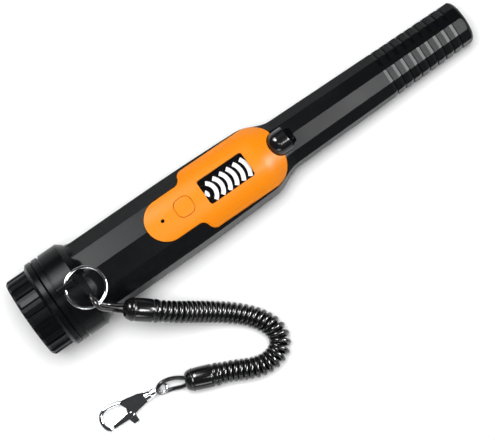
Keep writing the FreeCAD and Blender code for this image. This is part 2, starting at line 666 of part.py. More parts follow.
def display_window():
    top = window_flange_z()
    flange = rounded_block(WINDOW_X, 0, WINDOW_LENGTH + 2 * WINDOW_LIP, WINDOW_WIDTH + 2 * WINDOW_LIP,
                           top - WINDOW_THICKNESS, top, 1.5)
    slack = 2 * TOUCH
    raised = rounded_block(WINDOW_X, 0, WINDOW_LENGTH - slack, WINDOW_WIDTH - slack, top - 0.5, window_top(),
                           WINDOW_CORNER)
    return fuse(flange, raised)


def display_top():
    return window_flange_z() - WINDOW_THICKNESS


def display_module():
    top = display_top()
    return block(WINDOW_X - WINDOW_LENGTH / 2, WINDOW_X + WINDOW_LENGTH / 2, -WINDOW_WIDTH / 2, WINDOW_WIDTH / 2,
                 top - DISPLAY_THICKNESS, top)


def display_frame():
    """Light box that carries the display on the board."""
    top = display_top() - DISPLAY_THICKNESS
    half_l = WINDOW_LENGTH / 2
    half_w = WINDOW_WIDTH / 2
    frame = block(WINDOW_X - half_l, WINDOW_X + half_l, -half_w, half_w, BOARD_TOP, top)
    return frame.cut(block(WINDOW_X - half_l + 1.5, WINDOW_X + half_l - 1.5, -half_w + 1.5, half_w - 1.5,
                           BOARD_TOP - 1, top - 0.6))


def button_underside():
    reach = BUTTON_SIZE / 2 + BUTTON_FLANGE
    return math.sqrt((flat(BUTTON_X + reach) - PANEL_SEAT) ** 2 - reach ** 2) - 0.15


def power_button():
    under = button_underside()
    key = rounded_block(BUTTON_X, 0, BUTTON_SIZE, BUTTON_SIZE, under - 0.5, 30, BUTTON_CORNER)
    key = key.common(round_form(PANEL_X - 5, PANEL_END_X + 5, PANEL_PROUD))
    wide = BUTTON_SIZE + 2 * BUTTON_FLANGE
    flange = rounded_block(BUTTON_X, 0, wide, wide, under - 1.2, under, BUTTON_CORNER)
    stem = post(BUTTON_X, 0, switch_top() + BUTTON_TRAVEL + 0.1, under, 1.6)
    return fuse(key, flange, stem)


def switch_top():
    return BOARD_TOP + 1.7


def tact_switch():
    body = block(BUTTON_X - 3, BUTTON_X + 3, -3, 3, BOARD_TOP, BOARD_TOP + 1.2)
    return fuse(body, post(BUTTON_X, 0, BOARD_TOP + 1.2, switch_top(), 1.5))


def button_boot():
    """Soft cone that lifts the button again."""
    top = button_underside() - 1.2
    outer = Part.makeCone(5.4, 4.2, top - BOARD_TOP, V(BUTTON_X, 0, BOARD_TOP), Z_AXIS)
    inner = Part.makeCone(4.8, 3.6, top - BOARD_TOP, V(BUTTON_X, 0, BOARD_TOP), Z_AXIS)
    return outer.cut(inner)


def light_top():
    return ridge(LIGHT_X) + PANEL_PROUD - 0.15


def light_pipe():
    foot = post(LIGHT_X, 0, BOARD_TOP + 1.0, BOARD_TOP + 3.0, 1.5)
    return fuse(foot, post(LIGHT_X, 0, BOARD_TOP + 3.0, light_top(), LIGHT_R))


def status_led():
    return block(LIGHT_X - 0.8, LIGHT_X + 0.8, -0.6, 0.6, BOARD_TOP, BOARD_TOP + 1.0)


# ---- inside the handle ----------------------------------------------------------------------------------
def main_board():
    board = block(BOARD_X, BOARD_END_X, -BOARD_HALF, BOARD_HALF, BOARD_Z, BOARD_TOP)
    for x, y in board_screw_places():
        board = board.cut(post(x, y, BOARD_Z - 1, BOARD_TOP + 1, 0.9 + TOUCH))
    return board


def board_bar_places():
    return [BOARD_X + 6.5, BOARD_END_X - 2.0]


def board_screw_places():
    y = BOARD_HALF - 1.7
    return [(x, side * y) for x in board_bar_places() for side in (1, -1)]


def board_bracket():
    """Cross bars under the board that stand on the lower shell's wall, with legs that clear the pillars."""
    pieces = []
    for x in board_bar_places():
        bar = block(x - 1.7, x + 1.7, -BOARD_HALF, BOARD_HALF, BOARD_Z - 2.2, BOARD_Z)
        for side in (1, -1):
            leg_y = side * (BOARD_HALF - 1.2)
            leg = block(x - 1.7, x + 1.7, leg_y - 1.2, leg_y + 1.2, -20, BOARD_Z - 2.2)
            bar = bar.fuse(leg)
        bar = bar.common(cavity_form(-0.05)).removeSplitter()
        for sx, sy in board_screw_places():
            bar = bar.cut(post(sx, sy, BOARD_Z - 2.0, BOARD_Z + 1, 0.9))
        pieces.append(bar)
    return Part.makeCompound(pieces)


def board_screws():
    pieces = []
    for x, y in board_screw_places():
        head = post(x, y, BOARD_TOP, BOARD_TOP + 0.9, 1.5)
        pieces.append(fuse(head, post(x, y, BOARD_Z - 1.8, BOARD_TOP, 0.9)))
    return Part.makeCompound(pieces)


def buzzer():
    x = BOARD_END_X - 13
    can = post(x, 0, BOARD_Z - 5.0, BOARD_Z, 5.4)
    return can.cut(post(x, 0, BOARD_Z - 6, BOARD_Z - 4.2, 1.0))


def vibration_motor():
    body = rod(MOTOR_X, MOTOR_X + MOTOR_LENGTH, MOTOR_R, 0, MOTOR_Z)
    return fuse(body, rod(MOTOR_X + MOTOR_LENGTH, MOTOR_X + MOTOR_LENGTH + 6, MOTOR_SHAFT_R, 0, MOTOR_Z))


def motor_weight():
    x0 = MOTOR_X + MOTOR_LENGTH + 0.8
    sector = rod(x0, x0 + 4.2, 3.3, 0, MOTOR_Z).cut(block(x0 - 1, x0 + 6, -5, 5, MOTOR_Z + 0.4, MOTOR_Z + 8))
    hub = rod(x0, x0 + 4.2, 1.5, 0, MOTOR_Z)
    return fuse(sector, hub).cut(rod(x0 - 1, x0 + 6, MOTOR_SHAFT_R + MOTOR_SHAFT_GAP, 0, MOTOR_Z))


def motor_bracket():
    saddle = block(MOTOR_X + 1, MOTOR_X + MOTOR_LENGTH - 1, -5.4, 5.4, -20, MOTOR_Z + 1.5)
    saddle = saddle.common(cavity_form(-0.05))
    return saddle.cut(rod(MOTOR_X - 1, MOTOR_X + MOTOR_LENGTH + 1, MOTOR_R, 0, MOTOR_Z))


def battery():
    end = BATTERY_END_X
    cell = block(BATTERY_X, end, -BATTERY_WIDTH / 2, BATTERY_WIDTH / 2, -BATTERY_HEIGHT / 2,
                 BATTERY_HEIGHT / 2)
    along = [e for e in cell.Edges if abs(e.Vertexes[0].X - e.Vertexes[1].X) > BATTERY_LENGTH / 2]
    cell = cell.makeFillet(BATTERY_CORNER, along)
    return fuse(cell, rod(end, end + 2.2, 2.9, 6.35, 0), rod(end, end + 2.2, 3.6, -6.35, 0))


def battery_snap():
    plate = block(SNAP_X, SNAP_X + SNAP_THICKNESS, -12.4, 12.4, -6.0, 6.0)
    return plate.cut(rod(SNAP_X - 1, SNAP_X + 2.4, 3.0, 6.35, 0)).cut(rod(SNAP_X - 1, SNAP_X + 2.4, 3.7, -6.35, 0))


def bulkhead():
    """Disc that closes the battery bay, with a slot for the leads."""
    radius = flat(BULKHEAD_X) - WALL - TOUCH
    disc = rod(BULKHEAD_X, BULKHEAD_X + 2.0, radius)
    return disc.cut(block(BULKHEAD_X - 1, BULKHEAD_X + 3, -3.6, 3.6, -0.6, 7.2))


def battery_leads():
    x0 = SNAP_X + SNAP_THICKNESS
    pieces = []
    for name, y in (("red lead", 1.3), ("black lead", -1.3)):
        route = [V(x0, y * 1.3, 1.0), V(x0 + 2.4, y * 1.3, 1.0), V(x0 + 5.6, y * 1.1, 2.6), V(x0 + 9.8, y, 4.6),
                 V(BOARD_X - 0.4, y * 1.8, BOARD_Z - 0.9), V(BOARD_X + 3.4, y * 2.2, BOARD_Z - LEAD_R)]
        pieces.append(cord_tube(name, route, LEAD_R))
    return Part.makeCompound(pieces)


# ---- torch ----------------------------------------------------------------------------------------------
def torch_housing():
    body = torch_form(0)
    inner = rod(TORCH_BACK_X + TORCH_R - 1.0, TORCH_FRONT_X + 1, TORCH_R - TORCH_WALL, 0, TORCH_Z)
    return body.cut(inner)


def torch_reflector():
    back = TORCH_BACK_X + TORCH_R - 1.0
    front = TORCH_FRONT_X - 1.6
    radius = TORCH_R - TORCH_WALL
    bowl = turned([(back, 1.9), (back, radius), (front, radius), (front, radius - 0.5), (back + 2.6, radius - 1.5),
                   (back + 1.0, radius - 2.6)], TORCH_Z)
    return bowl


def torch_led():
    back = TORCH_BACK_X + TORCH_R - 1.0
    body = rod(back, back + 1.6, 1.8, 0, TORCH_Z)
    dome = Part.makeSphere(1.5, V(back + 1.6, 0, TORCH_Z))
    return fuse(body, dome.cut(block(back - 5, back + 1.6, -5, 5, TORCH_Z - 5, TORCH_Z + 5)))


def torch_lens():
    front = TORCH_FRONT_X - 0.5
    return rod(TORCH_FRONT_X - 1.6, front, TORCH_R - TORCH_WALL, 0, TORCH_Z)


# ---- search coil in the shaft ---------------------------------------------------------------------------
def ferrite_rod():
    return rod(ROD_X, ROD_END_X, ROD_R)


def coil_bobbin():
    tube_r = ROD_R + TOUCH + BOBBIN_WALL
    x0 = ROD_X - 2.0
    x1 = ROD_END_X - 3.0
    body = rod(x0, x1, tube_r).fuse(rod(x0, x0 + BOBBIN_FLANGE, FLANGE_R))
    body = body.fuse(rod(x1 - BOBBIN_FLANGE, x1, FLANGE_R)).removeSplitter()
    return body.cut(rod(x0 - 1, x1 + 1, ROD_R + TOUCH))


def search_coil():
    tube_r = ROD_R + TOUCH + BOBBIN_WALL
    x0 = ROD_X - 2.0 + BOBBIN_FLANGE
    x1 = ROD_END_X - 3.0 - BOBBIN_FLANGE
    return tube(x0, x1, tube_r, tube_r + WINDING)


def coil_spacers():
    """Soft rings that centre the bobbin in the shaft."""
    pieces = []
    for x in (ROD_X - 1.9, ROD_END_X - 3.0 - BOBBIN_FLANGE + 0.1):
        radius = flat(x + 1.4) - WALL - TOUCH
        pieces.append(tube(x, x + 1.4, FLANGE_R, radius))
    return Part.makeCompound(pieces)


def tip_pad():
    return rod(ROD_END_X + 0.1, TIP_X - WALL - 0.6, ROD_R + 0.6)


def coil_leads():
    pieces = []
    for name, y in (("coil lead", 1.4), ("return lead", -1.4)):
        route = [V(BOARD_END_X, y * 1.8, BOARD_Z + 0.8), V(BOARD_END_X + 3.0, y * 1.8, BOARD_Z + 0.8),
                 V(BOARD_END_X + 5.6, y * 1.2, BOARD_Z - 3.4), V(BOARD_END_X + 11.0, y, 1.2),
                 V(BOARD_END_X + 20.0, y * 1.3, 0.4), V(BOARD_END_X + 30.0, y * 1.6, 5.0),
                 V(ROD_X - 5.6, y * 1.6, 6.2), V(ROD_X - 2.0, y * 1.6, 6.2)]
        pieces.append(cord_tube(name, route, 0.5))
    return Part.makeCompound(pieces)


# ---- split ring and lanyard -----------------------------------------------------------------------------
def ring_centre():
    """The ring passes under the lug's bar, and lies over the collar's edge."""
    under_bar = V(LUG_X + LUG_POST + 2.6, 0, COLLAR_R + LUG_HOLE_HEIGHT / 2 + 0.05)
    reach = math.radians(-33.0)
    across = ring_rotation().multVec(V(RING_MEAN_R * math.cos(reach), RING_MEAN_R * math.sin(reach), 0))
    return under_bar + across


def ring_rotation():
    roll = FreeCAD.Rotation(X_AXIS, RING_ROLL)
    pitch = FreeCAD.Rotation(Y_AXIS, RING_PITCH)
    return pitch.multiply(roll)


def split_ring():
    """Two turns of flattened wire that lie on each other, with the groove between them."""
    half_w = RING_WIRE_WIDTH / 2
    r0 = RING_MEAN_R - half_w
    r1 = RING_MEAN_R + half_w
    high = RING_WIRE_HEIGHT
    bevel = 0.25
    side = [(r0 + bevel, -high), (r1 - bevel, -high), (r1, -high + bevel), (r1, -bevel), (r1 - bevel, 0), (r1, bevel),
            (r1, high - bevel), (r1 - bevel, high), (r0 + bevel, high), (r0, high - bevel), (r0, bevel),
            (r0 + bevel, 0), (r0, -bevel), (r0, -high + bevel), (r0 + bevel, -high)]
    wire = Part.makePolygon([V(r, 0, z) for r, z in side])
    ring = Part.Face(wire).revolve(V(0, 0, 0), Z_AXIS, 360)
    ring.Placement = FreeCAD.Placement(ring_centre(), ring_rotation())
    return ring


def ferrule(start, end):
    """Moulded sleeve from the loop's end to the coil's end, with a round nose and a band groove."""
    length = (end - start).Length
    nose = 2.6
    profile = [(0, 0), (0, FERRULE_NOSE - 0.8), (0.5, FERRULE_NOSE), (nose * 0.5, FERRULE_R - 0.8), (nose, FERRULE_R),
               (length - 3.0, FERRULE_R), (length - 2.8, FERRULE_R - 0.5), (length - 2.0, FERRULE_R - 0.5),
               (length - 1.8, FERRULE_R), (length, FERRULE_R - 0.2), (length, 0)]
    solid = turned(profile)
    solid.Placement = frame_at(start, end - start)
    return solid


def loop_tube(name, face, axis, far, across, normal, reach, drop, lift):
    """Cord loop out of a ferrule and round the wire at far: over it, down past it and back under it.

    face is the middle of the ferrule's end and axis points out of it. The bight crosses the wire along across,
    with normal as its upper side, stands reach past the wire and is twice drop high. Its waist is raised by lift.
    """
    out = V(axis).normalize()
    across = V(across).normalize()
    normal = V(normal).normalize()
    run = (far - face).Length
    side = Z_AXIS.cross(out).normalize()
    along = normal.cross(across)
    half = STRAND_GAP / 2
    tight = half * 0.3
    lead = out * (0.2 * run)
    waist = face + (far - face) * 0.5 + Z_AXIS * lift
    near = far - across * reach
    past = far + across * reach
    route = [face + side * half, face + side * half + lead, waist + side * half * 0.8 + normal * drop * 0.6,
             near + along * tight + normal * drop, past + along * tight * 0.3 + normal * drop,
             past - along * tight * 0.3 - normal * drop, near - along * tight - normal * drop,
             waist - side * half * 0.8 - normal * drop * 0.6, face - side * half + lead, face - side * half]
    return cord_tube(name, route, CORD_R)


# ---- snap hook ------------------------------------------------------------------------------------------
def swivel_eye():
    """Eye, shank and the headed pin that turns in the hook's barrel."""
    eye = Part.makeTorus(EYE_R, EYE_WIRE_R, V(0, 0, 0), Z_AXIS)
    shank = rod(EYE_R, BARREL_X - 0.3, 1.3)
    pin = rod(BARREL_X - 0.4, BARREL_X + BARREL_LENGTH - 1.3, SWIVEL_PIN_R)
    head = rod(BARREL_X + BARREL_LENGTH - 2.2, BARREL_X + BARREL_LENGTH - 1.3, SWIVEL_PIN_R + 0.45)
    return fuse(eye, shank, pin, head)


def hook_body():
    """Barrel, flat body and the bow of the hook."""
    barrel_end = BARREL_X + BARREL_LENGTH
    barrel = turned([(BARREL_X, 0), (BARREL_X, BARREL_R), (BARREL_X + 1.2, BARREL_R), (BARREL_X + 1.5, BARREL_R - 0.5),
                     (BARREL_X + 2.1, BARREL_R - 0.5), (BARREL_X + 2.4, BARREL_R), (barrel_end, BARREL_R + 0.2),
                     (barrel_end, 0)])
    half = HOOK_THICKNESS / 2
    outline = [V(barrel_end - 0.6, -2.2, -half), V(HOOK_PLATE_X + 2.5, -3.3, -half), V(HOOK_PLATE_END, -3.9, -half),
               V(HOOK_PLATE_END + 2.2, -3.2, -half), V(HOOK_PLATE_END, 0.4, -half), V(HOOK_PLATE_END + 0.6, 2.4, -half),
               V(HOOK_PLATE_END + 0.2, 5.2, -half), V(HOOK_PLATE_X + 4.0, 3.6, -half), V(barrel_end - 0.6, 2.3, -half)]
    plate = Part.Face(Part.makePolygon(outline + [outline[0]])).extrude(V(0, 0, HOOK_THICKNESS))
    bow_start = V(HOOK_PLATE_END + 0.6, -2.9, 0)
    bow_top = BOW_CENTRE + V(-0.6, -BOW_R, 0)
    bow_tip = BOW_CENTRE + V(BOW_R * 1.05, 0.3, 0)
    bow_end = BOW_CENTRE + V(2.2, BOW_R, 0)
    route = Part.BSplineCurve()
    route.interpolate([bow_start, bow_top, BOW_CENTRE + V(BOW_R * 0.72, -BOW_R * 0.76, 0), bow_tip,
                       BOW_CENTRE + V(BOW_R * 0.86, BOW_R * 0.72, 0), bow_end])
    path = Part.Wire(route.toShape())
    circle = Part.Wire(Part.makeCircle(BOW_WIRE_R, bow_start, route.tangent(route.FirstParameter)[0]))
    bow = path.makePipeShell([circle], True, True)
    body = fuse(barrel, plate, bow)
    slot = GATE_THICKNESS / 2 + 0.15
    body = body.cut(block(GATE_PIVOT.x - 3.4, HOOK_PLATE_END + 8, 1.6, 12, -slot, slot))
    body = body.cut(rod(BARREL_X - 1, barrel_end - 2.5 + 0.3, SWIVEL_PIN_R + SWIVEL_GAP))
    body = body.cut(rod(barrel_end - 2.3, barrel_end - 1.1, SWIVEL_PIN_R + 0.45 + SWIVEL_GAP))
    return body.cut(post(GATE_PIVOT.x, GATE_PIVOT.y, -5, 5, GATE_PIN_R))


def gate_end():
    return BOW_CENTRE + V(1.6, BOW_R - BOW_WIRE_R * 0.2, 0)


def hook_gate():
    """Straight gate that closes the bow, with its thumb lever."""
    half = GATE_THICKNESS / 2
    end = gate_end()
    outline = [V(GATE_PIVOT.x - 2.0, GATE_PIVOT.y - 1.1, -half), V(GATE_PIVOT.x + 1.0, GATE_PIVOT.y - 1.7, -half),
               V(end.x - 0.6, end.y - 1.3, -half), V(end.x - 0.2, end.y + 0.4, -half),
               V(GATE_PIVOT.x + 2.4, GATE_PIVOT.y + 1.5, -half), V(GATE_PIVOT.x + 1.0, GATE_PIVOT.y + LEVER_REACH, -half),
               V(GATE_PIVOT.x - 1.8, GATE_PIVOT.y + LEVER_REACH - 0.4, -half),
               V(GATE_PIVOT.x - 1.6, GATE_PIVOT.y + 1.0, -half)]
    plate = Part.Face(Part.makePolygon(outline + [outline[0]])).extrude(V(0, 0, GATE_THICKNESS))
    return plate.cut(post(GATE_PIVOT.x, GATE_PIVOT.y, -5, 5, GATE_PIN_R + 0.06))


def gate_rivet():
    half = HOOK_THICKNESS / 2
    pin = post(GATE_PIVOT.x, GATE_PIVOT.y, -half, half, GATE_PIN_R)
    return fuse(pin, post(GATE_PIVOT.x, GATE_PIVOT.y, half, half + 0.3, 1.2),
                post(GATE_PIVOT.x, GATE_PIVOT.y, -half - 0.3, -half, 1.2))


# ---- placing and writing --------------------------------------------------------------------------------
def resting_tilt():
    """Angle of the probe's axis, tip down, when it rests on its collar and on the end of its handle."""
    places = [SHOULDER_X + SHOULDER_LENGTH * i / 40 for i in range(-40, 40)] + [TIP_X - TIP_ROUND]
    return min(math.atan((COLLAR_R - flat(x)) / (x - COLLAR_END_X)) for x in places)


def lay_down():
    """Placement of the probe on the table: the collar's edge touches Z = 0, and X is centred."""
    tilt = resting_tilt()
    rotation = FreeCAD.Rotation(Y_AXIS, math.degrees(tilt))
    lowest = rotation.multVec(V(COLLAR_END_X, 0, -COLLAR_R)).z
    left = rotation.multVec(V(-0.9, 0, 0)).x
    right = rotation.multVec(V(TIP_X, 0, 0)).x
    return FreeCAD.Placement(V(-(left + right) / 2, 0, -lowest), rotation)


PROBE = lay_down()
HOOK = frame_at(EYE_CENTRE, HOOK_TOWARDS - EYE_CENTRE)
COIL_END = COIL_ROUTE[-1]
RING_FERRULE_START = RING_FERRULE_END + (RING_FERRULE_END - COIL_ROUTE[1]).normalize() * FERRULE_LENGTH
HOOK_FERRULE_END = COIL_END + (COIL_END - COIL_ROUTE[-2]).normalize() * FERRULE_LENGTH


def ring_point(degrees):
    """Point on the ring's wire at an angle round it, in the table's frame, and the way in to the ring's middle."""
    angle = math.radians(degrees)
    local = V(RING_MEAN_R * math.cos(angle), RING_MEAN_R * math.sin(angle), 0)
    offset = ring_rotation().multVec(local)
    return PROBE.multVec(ring_centre() + offset), PROBE.Rotation.multVec(offset * -1).normalize()


def probe_pieces():
    form = housing_form()
    seal = shell_seal()
    return {
        "battery_cap": battery_cap(),
        "cap_pad": cap_pad(),
        "cap_o_ring": cap_o_ring(),
        "collar_ring": collar_ring(),
        "upper_shell": upper_shell(form).cut(seal),
        "lower_shell": lower_shell(form).cut(seal),
        "shell_seal": seal,
        "case_screws": case_screws(),
        "face_panel": face_panel(),
        "panel_gasket": panel_gasket(),
        "display_window": display_window(),
        "display_module": display_module(),
        "display_frame": display_frame(),
        "power_button": power_button(),
        "button_boot": button_boot(),
        "tact_switch": tact_switch(),
        "light_pipe": light_pipe(),
        "status_led": status_led(),
        "main_board": main_board(),
        "board_bracket": board_bracket(),
        "board_screws": board_screws(),
        "buzzer": buzzer(),
        "vibration_motor": vibration_motor(),
        "motor_weight": motor_weight(),
        "motor_bracket": motor_bracket(),
        "battery": battery(),
        "battery_snap": battery_snap(),
        "battery_leads": battery_leads(),
        "bulkhead": bulkhead(),
        "torch_housing": torch_housing(),
        "torch_reflector": torch_reflector(),
        "torch_led": torch_led(),
        "torch_lens": torch_lens(),
        "ferrite_rod": ferrite_rod(),
        "coil_bobbin": coil_bobbin(),
        "search_coil": search_coil(),
        "coil_spacers": coil_spacers(),
        "coil_leads": coil_leads(),
        "tip_pad": tip_pad(),
        "split_ring": split_ring(),
    }


def hook_pieces():
    return {
        "swivel_eye": swivel_eye(),
        "hook_body": hook_body(),
        "hook_gate": hook_gate(),
        "gate_rivet": gate_rivet(),
    }


def lanyard_pieces():
    contact, inward = ring_point(RING_LOOP_ANGLE)
    ring_up = PROBE.Rotation.multVec(ring_rotation().multVec(Z_AXIS))
    lean = math.radians(LOOP_LEAN)
    across = inward * math.cos(lean) + ring_up * math.sin(lean)
    over = ring_up * math.cos(lean) - inward * math.sin(lean)
    ring_drop = CORD_R + math.hypot(RING_WIRE_WIDTH / 2, RING_WIRE_HEIGHT) + LOOP_CLEARANCE
    eye_wire = HOOK.multVec(V(-EYE_R, 0, 0))
    eye_drop = CORD_R + EYE_WIRE_R + LOOP_CLEARANCE
    hook_x = HOOK.Rotation.multVec(X_AXIS)
    hook_z = HOOK.Rotation.multVec(Z_AXIS)
    return {
        "ring_loop_cord": loop_tube("ring loop", RING_FERRULE_START, RING_FERRULE_START - RING_FERRULE_END,
                                    contact, across, over, RING_LOOP_REACH, ring_drop, RING_LOOP_LIFT),
        "ring_ferrule": ferrule(RING_FERRULE_START, RING_FERRULE_END),
        "coil_cord": cord_tube("coil", COIL_ROUTE, COIL_R),
        "hook_ferrule": ferrule(HOOK_FERRULE_END, COIL_END),
        "hook_loop_cord": loop_tube("hook loop", HOOK_FERRULE_END, HOOK_FERRULE_END - COIL_END,
                                    eye_wire, hook_x, hook_z, EYE_R, eye_drop, 0),
    }


def main():
    print(f"the cap comes off after {UNSCREW:.1f} mm, {UNSCREW / THREAD_PITCH:.2f} turns")
    os.makedirs("parts", exist_ok=True)
    placed = {}
    for name, shape in probe_pieces().items():
        shape.Placement = PROBE.multiply(shape.Placement)
        placed[name] = shape
    for name, shape in hook_pieces().items():
        shape.Placement = HOOK.multiply(shape.Placement)
        placed[name] = shape
    placed.update(lanyard_pieces())
    for name, shape in placed.items():
        box = shape.BoundBox
        if not shape.isValid() or not shape.Solids:
            print(f"{name}: not a valid solid")
        print(f"{name}: {len(shape.Solids)} solid, {shape.Volume:.0f} mm3, z {box.ZMin:.2f} to {box.ZMax:.2f}")
        shape.exportStep(f"parts/{name}.step")
    return placed


if __name__ == "__main__":
    main()
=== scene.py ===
# %% [markdown]
# # A pinpointer probe with a coiled lanyard
#
# A pinpointer is the short probe that a prospector pokes into the hole to find where a coin lies. This
# one has a black faceted housing with a ribbed tip, an orange panel with a button and a display, a small
# torch, a screw cap over its battery and a coiled cord that ends in a snap hook. The measured solids come
# from the CAD model. They keep their shapes here. Blender adds what CAD is poor at: the cords, the sprung
# wire of the ring, the picture on the display and the finish of every surface.

# %% Load the measured frame
import json
import math

import bmesh
import bpy
from mathutils import Matrix, Vector


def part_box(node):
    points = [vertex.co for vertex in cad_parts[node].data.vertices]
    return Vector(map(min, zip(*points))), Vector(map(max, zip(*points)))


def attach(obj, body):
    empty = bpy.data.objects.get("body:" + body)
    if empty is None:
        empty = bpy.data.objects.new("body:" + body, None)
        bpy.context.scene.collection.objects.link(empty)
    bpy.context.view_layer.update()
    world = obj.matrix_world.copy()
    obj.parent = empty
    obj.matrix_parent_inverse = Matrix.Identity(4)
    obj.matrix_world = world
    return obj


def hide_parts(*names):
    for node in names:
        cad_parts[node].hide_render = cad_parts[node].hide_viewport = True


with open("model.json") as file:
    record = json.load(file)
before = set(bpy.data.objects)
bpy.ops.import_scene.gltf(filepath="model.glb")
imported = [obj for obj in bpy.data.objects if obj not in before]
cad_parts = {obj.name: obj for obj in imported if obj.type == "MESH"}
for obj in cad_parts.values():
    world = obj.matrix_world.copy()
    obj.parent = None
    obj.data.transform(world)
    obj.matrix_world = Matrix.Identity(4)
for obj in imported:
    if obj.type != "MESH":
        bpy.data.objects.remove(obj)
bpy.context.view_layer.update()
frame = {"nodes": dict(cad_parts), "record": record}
scene = bpy.context.scene
print("CAD nodes:", len(frame["nodes"]))

# %% [markdown]
# ## Where the eye stands
#
# The probe lies flat on the table and is seen almost straight from above, leaning a little towards the
# near side, with its tip at the upper right. A camera is placed by a matrix whose columns are its right,
# its up and its back. Working those out from two angles is steadier than aiming with a constraint,
# because nothing is left live.

# %% Camera
MM = 0.001
LEAN = math.radians(5.4)        # of the line of sight from straight down
ROLL = math.radians(35.04)      # how far the probe rises across the frame
DISTANCE = 950 * MM
AIM = Vector((-13.1, -19.8, 20.0)) * MM
LENS = 150.2

back = Vector((0, -math.sin(LEAN), math.cos(LEAN)))
level_up = Vector((0, math.cos(LEAN), math.sin(LEAN)))
level_right = Vector((1, 0, 0))
right = level_right * math.cos(ROLL) - level_up * math.sin(ROLL)
up = level_right * math.sin(ROLL) + level_up * math.cos(ROLL)

camera_data = bpy.data.cameras.new("camera")
camera_data.lens = LENS
camera_data.sensor_width = 36
camera_data.clip_start = 0.05
camera = bpy.data.objects.new("camera", camera_data)
scene.collection.objects.link(camera)
turned_view = Matrix((right, up, back)).transposed().to_4x4()
camera.matrix_world = Matrix.Translation(AIM + back * DISTANCE) @ turned_view
scene.camera = camera
scene.view_settings.view_transform = "Standard"     # white stays white and orange stays orange
print("camera at", [round(v, 3) for v in camera.matrix_world.translation])

# %% [markdown]
# ## Shader maths that reads like sums
#
# A node tree is hard to read as a list of links. Here one small class wraps a socket, so that `1 - mask`
# or `noise * 0.2 + 0.4` adds the Math nodes itself. A second class holds one material: it makes any other
# node from its type, settings and inputs, and sets the sockets of the surface shader.

# %% A socket that adds its own Math nodes
class Wire:
    """A shader socket that can be added, subtracted and multiplied, from either side."""

    def __init__(self, tree, socket):
        self.tree = tree
        self.socket = socket

    def combine(self, operation, first, second):
        node = self.tree.nodes.new("ShaderNodeMath")
        node.operation = operation
        for slot_input, value in zip(node.inputs, (first, second)):
            if isinstance(value, Wire):
                self.tree.links.new(value.socket, slot_input)
            else:
                slot_input.default_value = value
        return Wire(self.tree, node.outputs[0])

    def __add__(self, other):
        return self.combine("ADD", self, other)

    def __radd__(self, other):
        return self.combine("ADD", other, self)

    def __sub__(self, other):
        return self.combine("SUBTRACT", self, other)

    def __rsub__(self, other):
        return self.combine("SUBTRACT", other, self)

    def __mul__(self, other):
        return self.combine("MULTIPLY", self, other)

    def __rmul__(self, other):
        return self.combine("MULTIPLY", other, self)


print("shader sums ready")


# %% One material
class Finish:
    """One material: a surface shader, and the nodes that vary it."""

    def __init__(self, name, **constants):
        self.material = bpy.data.materials.new(name)
        self.material.use_nodes = True
        self.tree = self.material.node_tree
        self.surface = self.tree.nodes["Principled BSDF"]
        self.place = self.tree.nodes.new("ShaderNodeTexCoord").outputs["Object"]
        for key, value in constants.items():
            self.surface.inputs[key.replace("_", " ")].default_value = value

    def node(self, kind, settings=(), **inputs):
        """A new node; settings are its own properties, inputs its sockets by name, with _ for a space."""
        made = self.tree.nodes.new(kind)
        for key, value in dict(settings).items():
            setattr(made, key, value)
        for key, value in inputs.items():
            self.feed(made.inputs[key.replace("_", " ")], value)
        return Wire(self.tree, made.outputs[0])

    def feed(self, target, value):
        if isinstance(value, Wire):
            self.tree.links.new(value.socket, target)
        elif isinstance(value, bpy.types.NodeSocket):
            self.tree.links.new(value, target)
        else:
            target.default_value = value

    def vary(self, **inputs):
        """Links what changes over the surface to the shader."""
        for key, value in inputs.items():
            self.feed(self.surface.inputs[key.replace("_", " ")], value)

    def noise(self, per_metre, detail=2.0, stretch=(1, 1, 1)):
        place = self.node("ShaderNodeMapping", Vector=self.place, Scale=stretch)
        return self.node("ShaderNodeTexNoise", Vector=place, Scale=per_metre, Detail=detail)

    def cells(self, per_metre):
        return self.node("ShaderNodeTexVoronoi", {"feature": "F1"}, Vector=self.place, Scale=per_metre)

    def tint(self, factor, low, high):
        """A colour between low and high."""
        mixer = self.tree.nodes.new("ShaderNodeMix")
        mixer.data_type = "RGBA"
        self.feed(mixer.inputs[0], factor)
        mixer.inputs[6].default_value = (*low, 1)
        mixer.inputs[7].default_value = (*high, 1)
        return Wire(self.tree, mixer.outputs[2])

    def bump(self, height, depth):
        return self.node("ShaderNodeBump", Height=height, Distance=depth, Strength=1.0)


print("finishes ready")

# %% [markdown]
# ## Moulded plastics
#
# The housing is black plastic from a spark-eroded mould. Its skin is a fine pebble, finer than half a
# millimetre, that turns a mirror into a broad soft sheen. A fine noise and small cells make the pebble,
# and a slow noise lets roughness and colour drift, since no moulding is the same all over. The same
# recipe with other numbers makes the orange panel and the grey inner parts.

# %% The recipe for a moulded skin
PATCHES = 45                    # slow patches of roughness and colour, per metre
PEBBLE = 2600                   # grains of the skin, per metre
CELL_SHARE = 0.7                # cells of the skin to its grains
GRAIN_IN_BUMP = 0.6             # grain in the bump; the cells are the rest
GRAIN_ROUGHNESS = 0.04
DRIFT = 0.06                    # of the roughness, either way


def moulded(name, colour, roughness, pebble=PEBBLE, depth=0.00002, shift=0.12, **constants):
    """A moulded skin; shift is how far its colour strays, depth the height of its grain in metres."""
    finish = Finish(name, **constants)
    slow = finish.noise(PATCHES, 3)
    fine = finish.noise(pebble, 2)
    cells = finish.cells(pebble * CELL_SHARE)
    dark = [c * (1 - shift) for c in colour]
    light = [min(1, c * (1 + shift)) for c in colour]
    finish.vary(Base_Color=finish.tint(slow, dark, light))
    finish.vary(Roughness=slow * (2 * DRIFT) + fine * GRAIN_ROUGHNESS + (roughness - DRIFT))
    finish.vary(Normal=finish.bump(fine * GRAIN_IN_BUMP + cells * (1 - GRAIN_IN_BUMP), depth))
    return finish.material


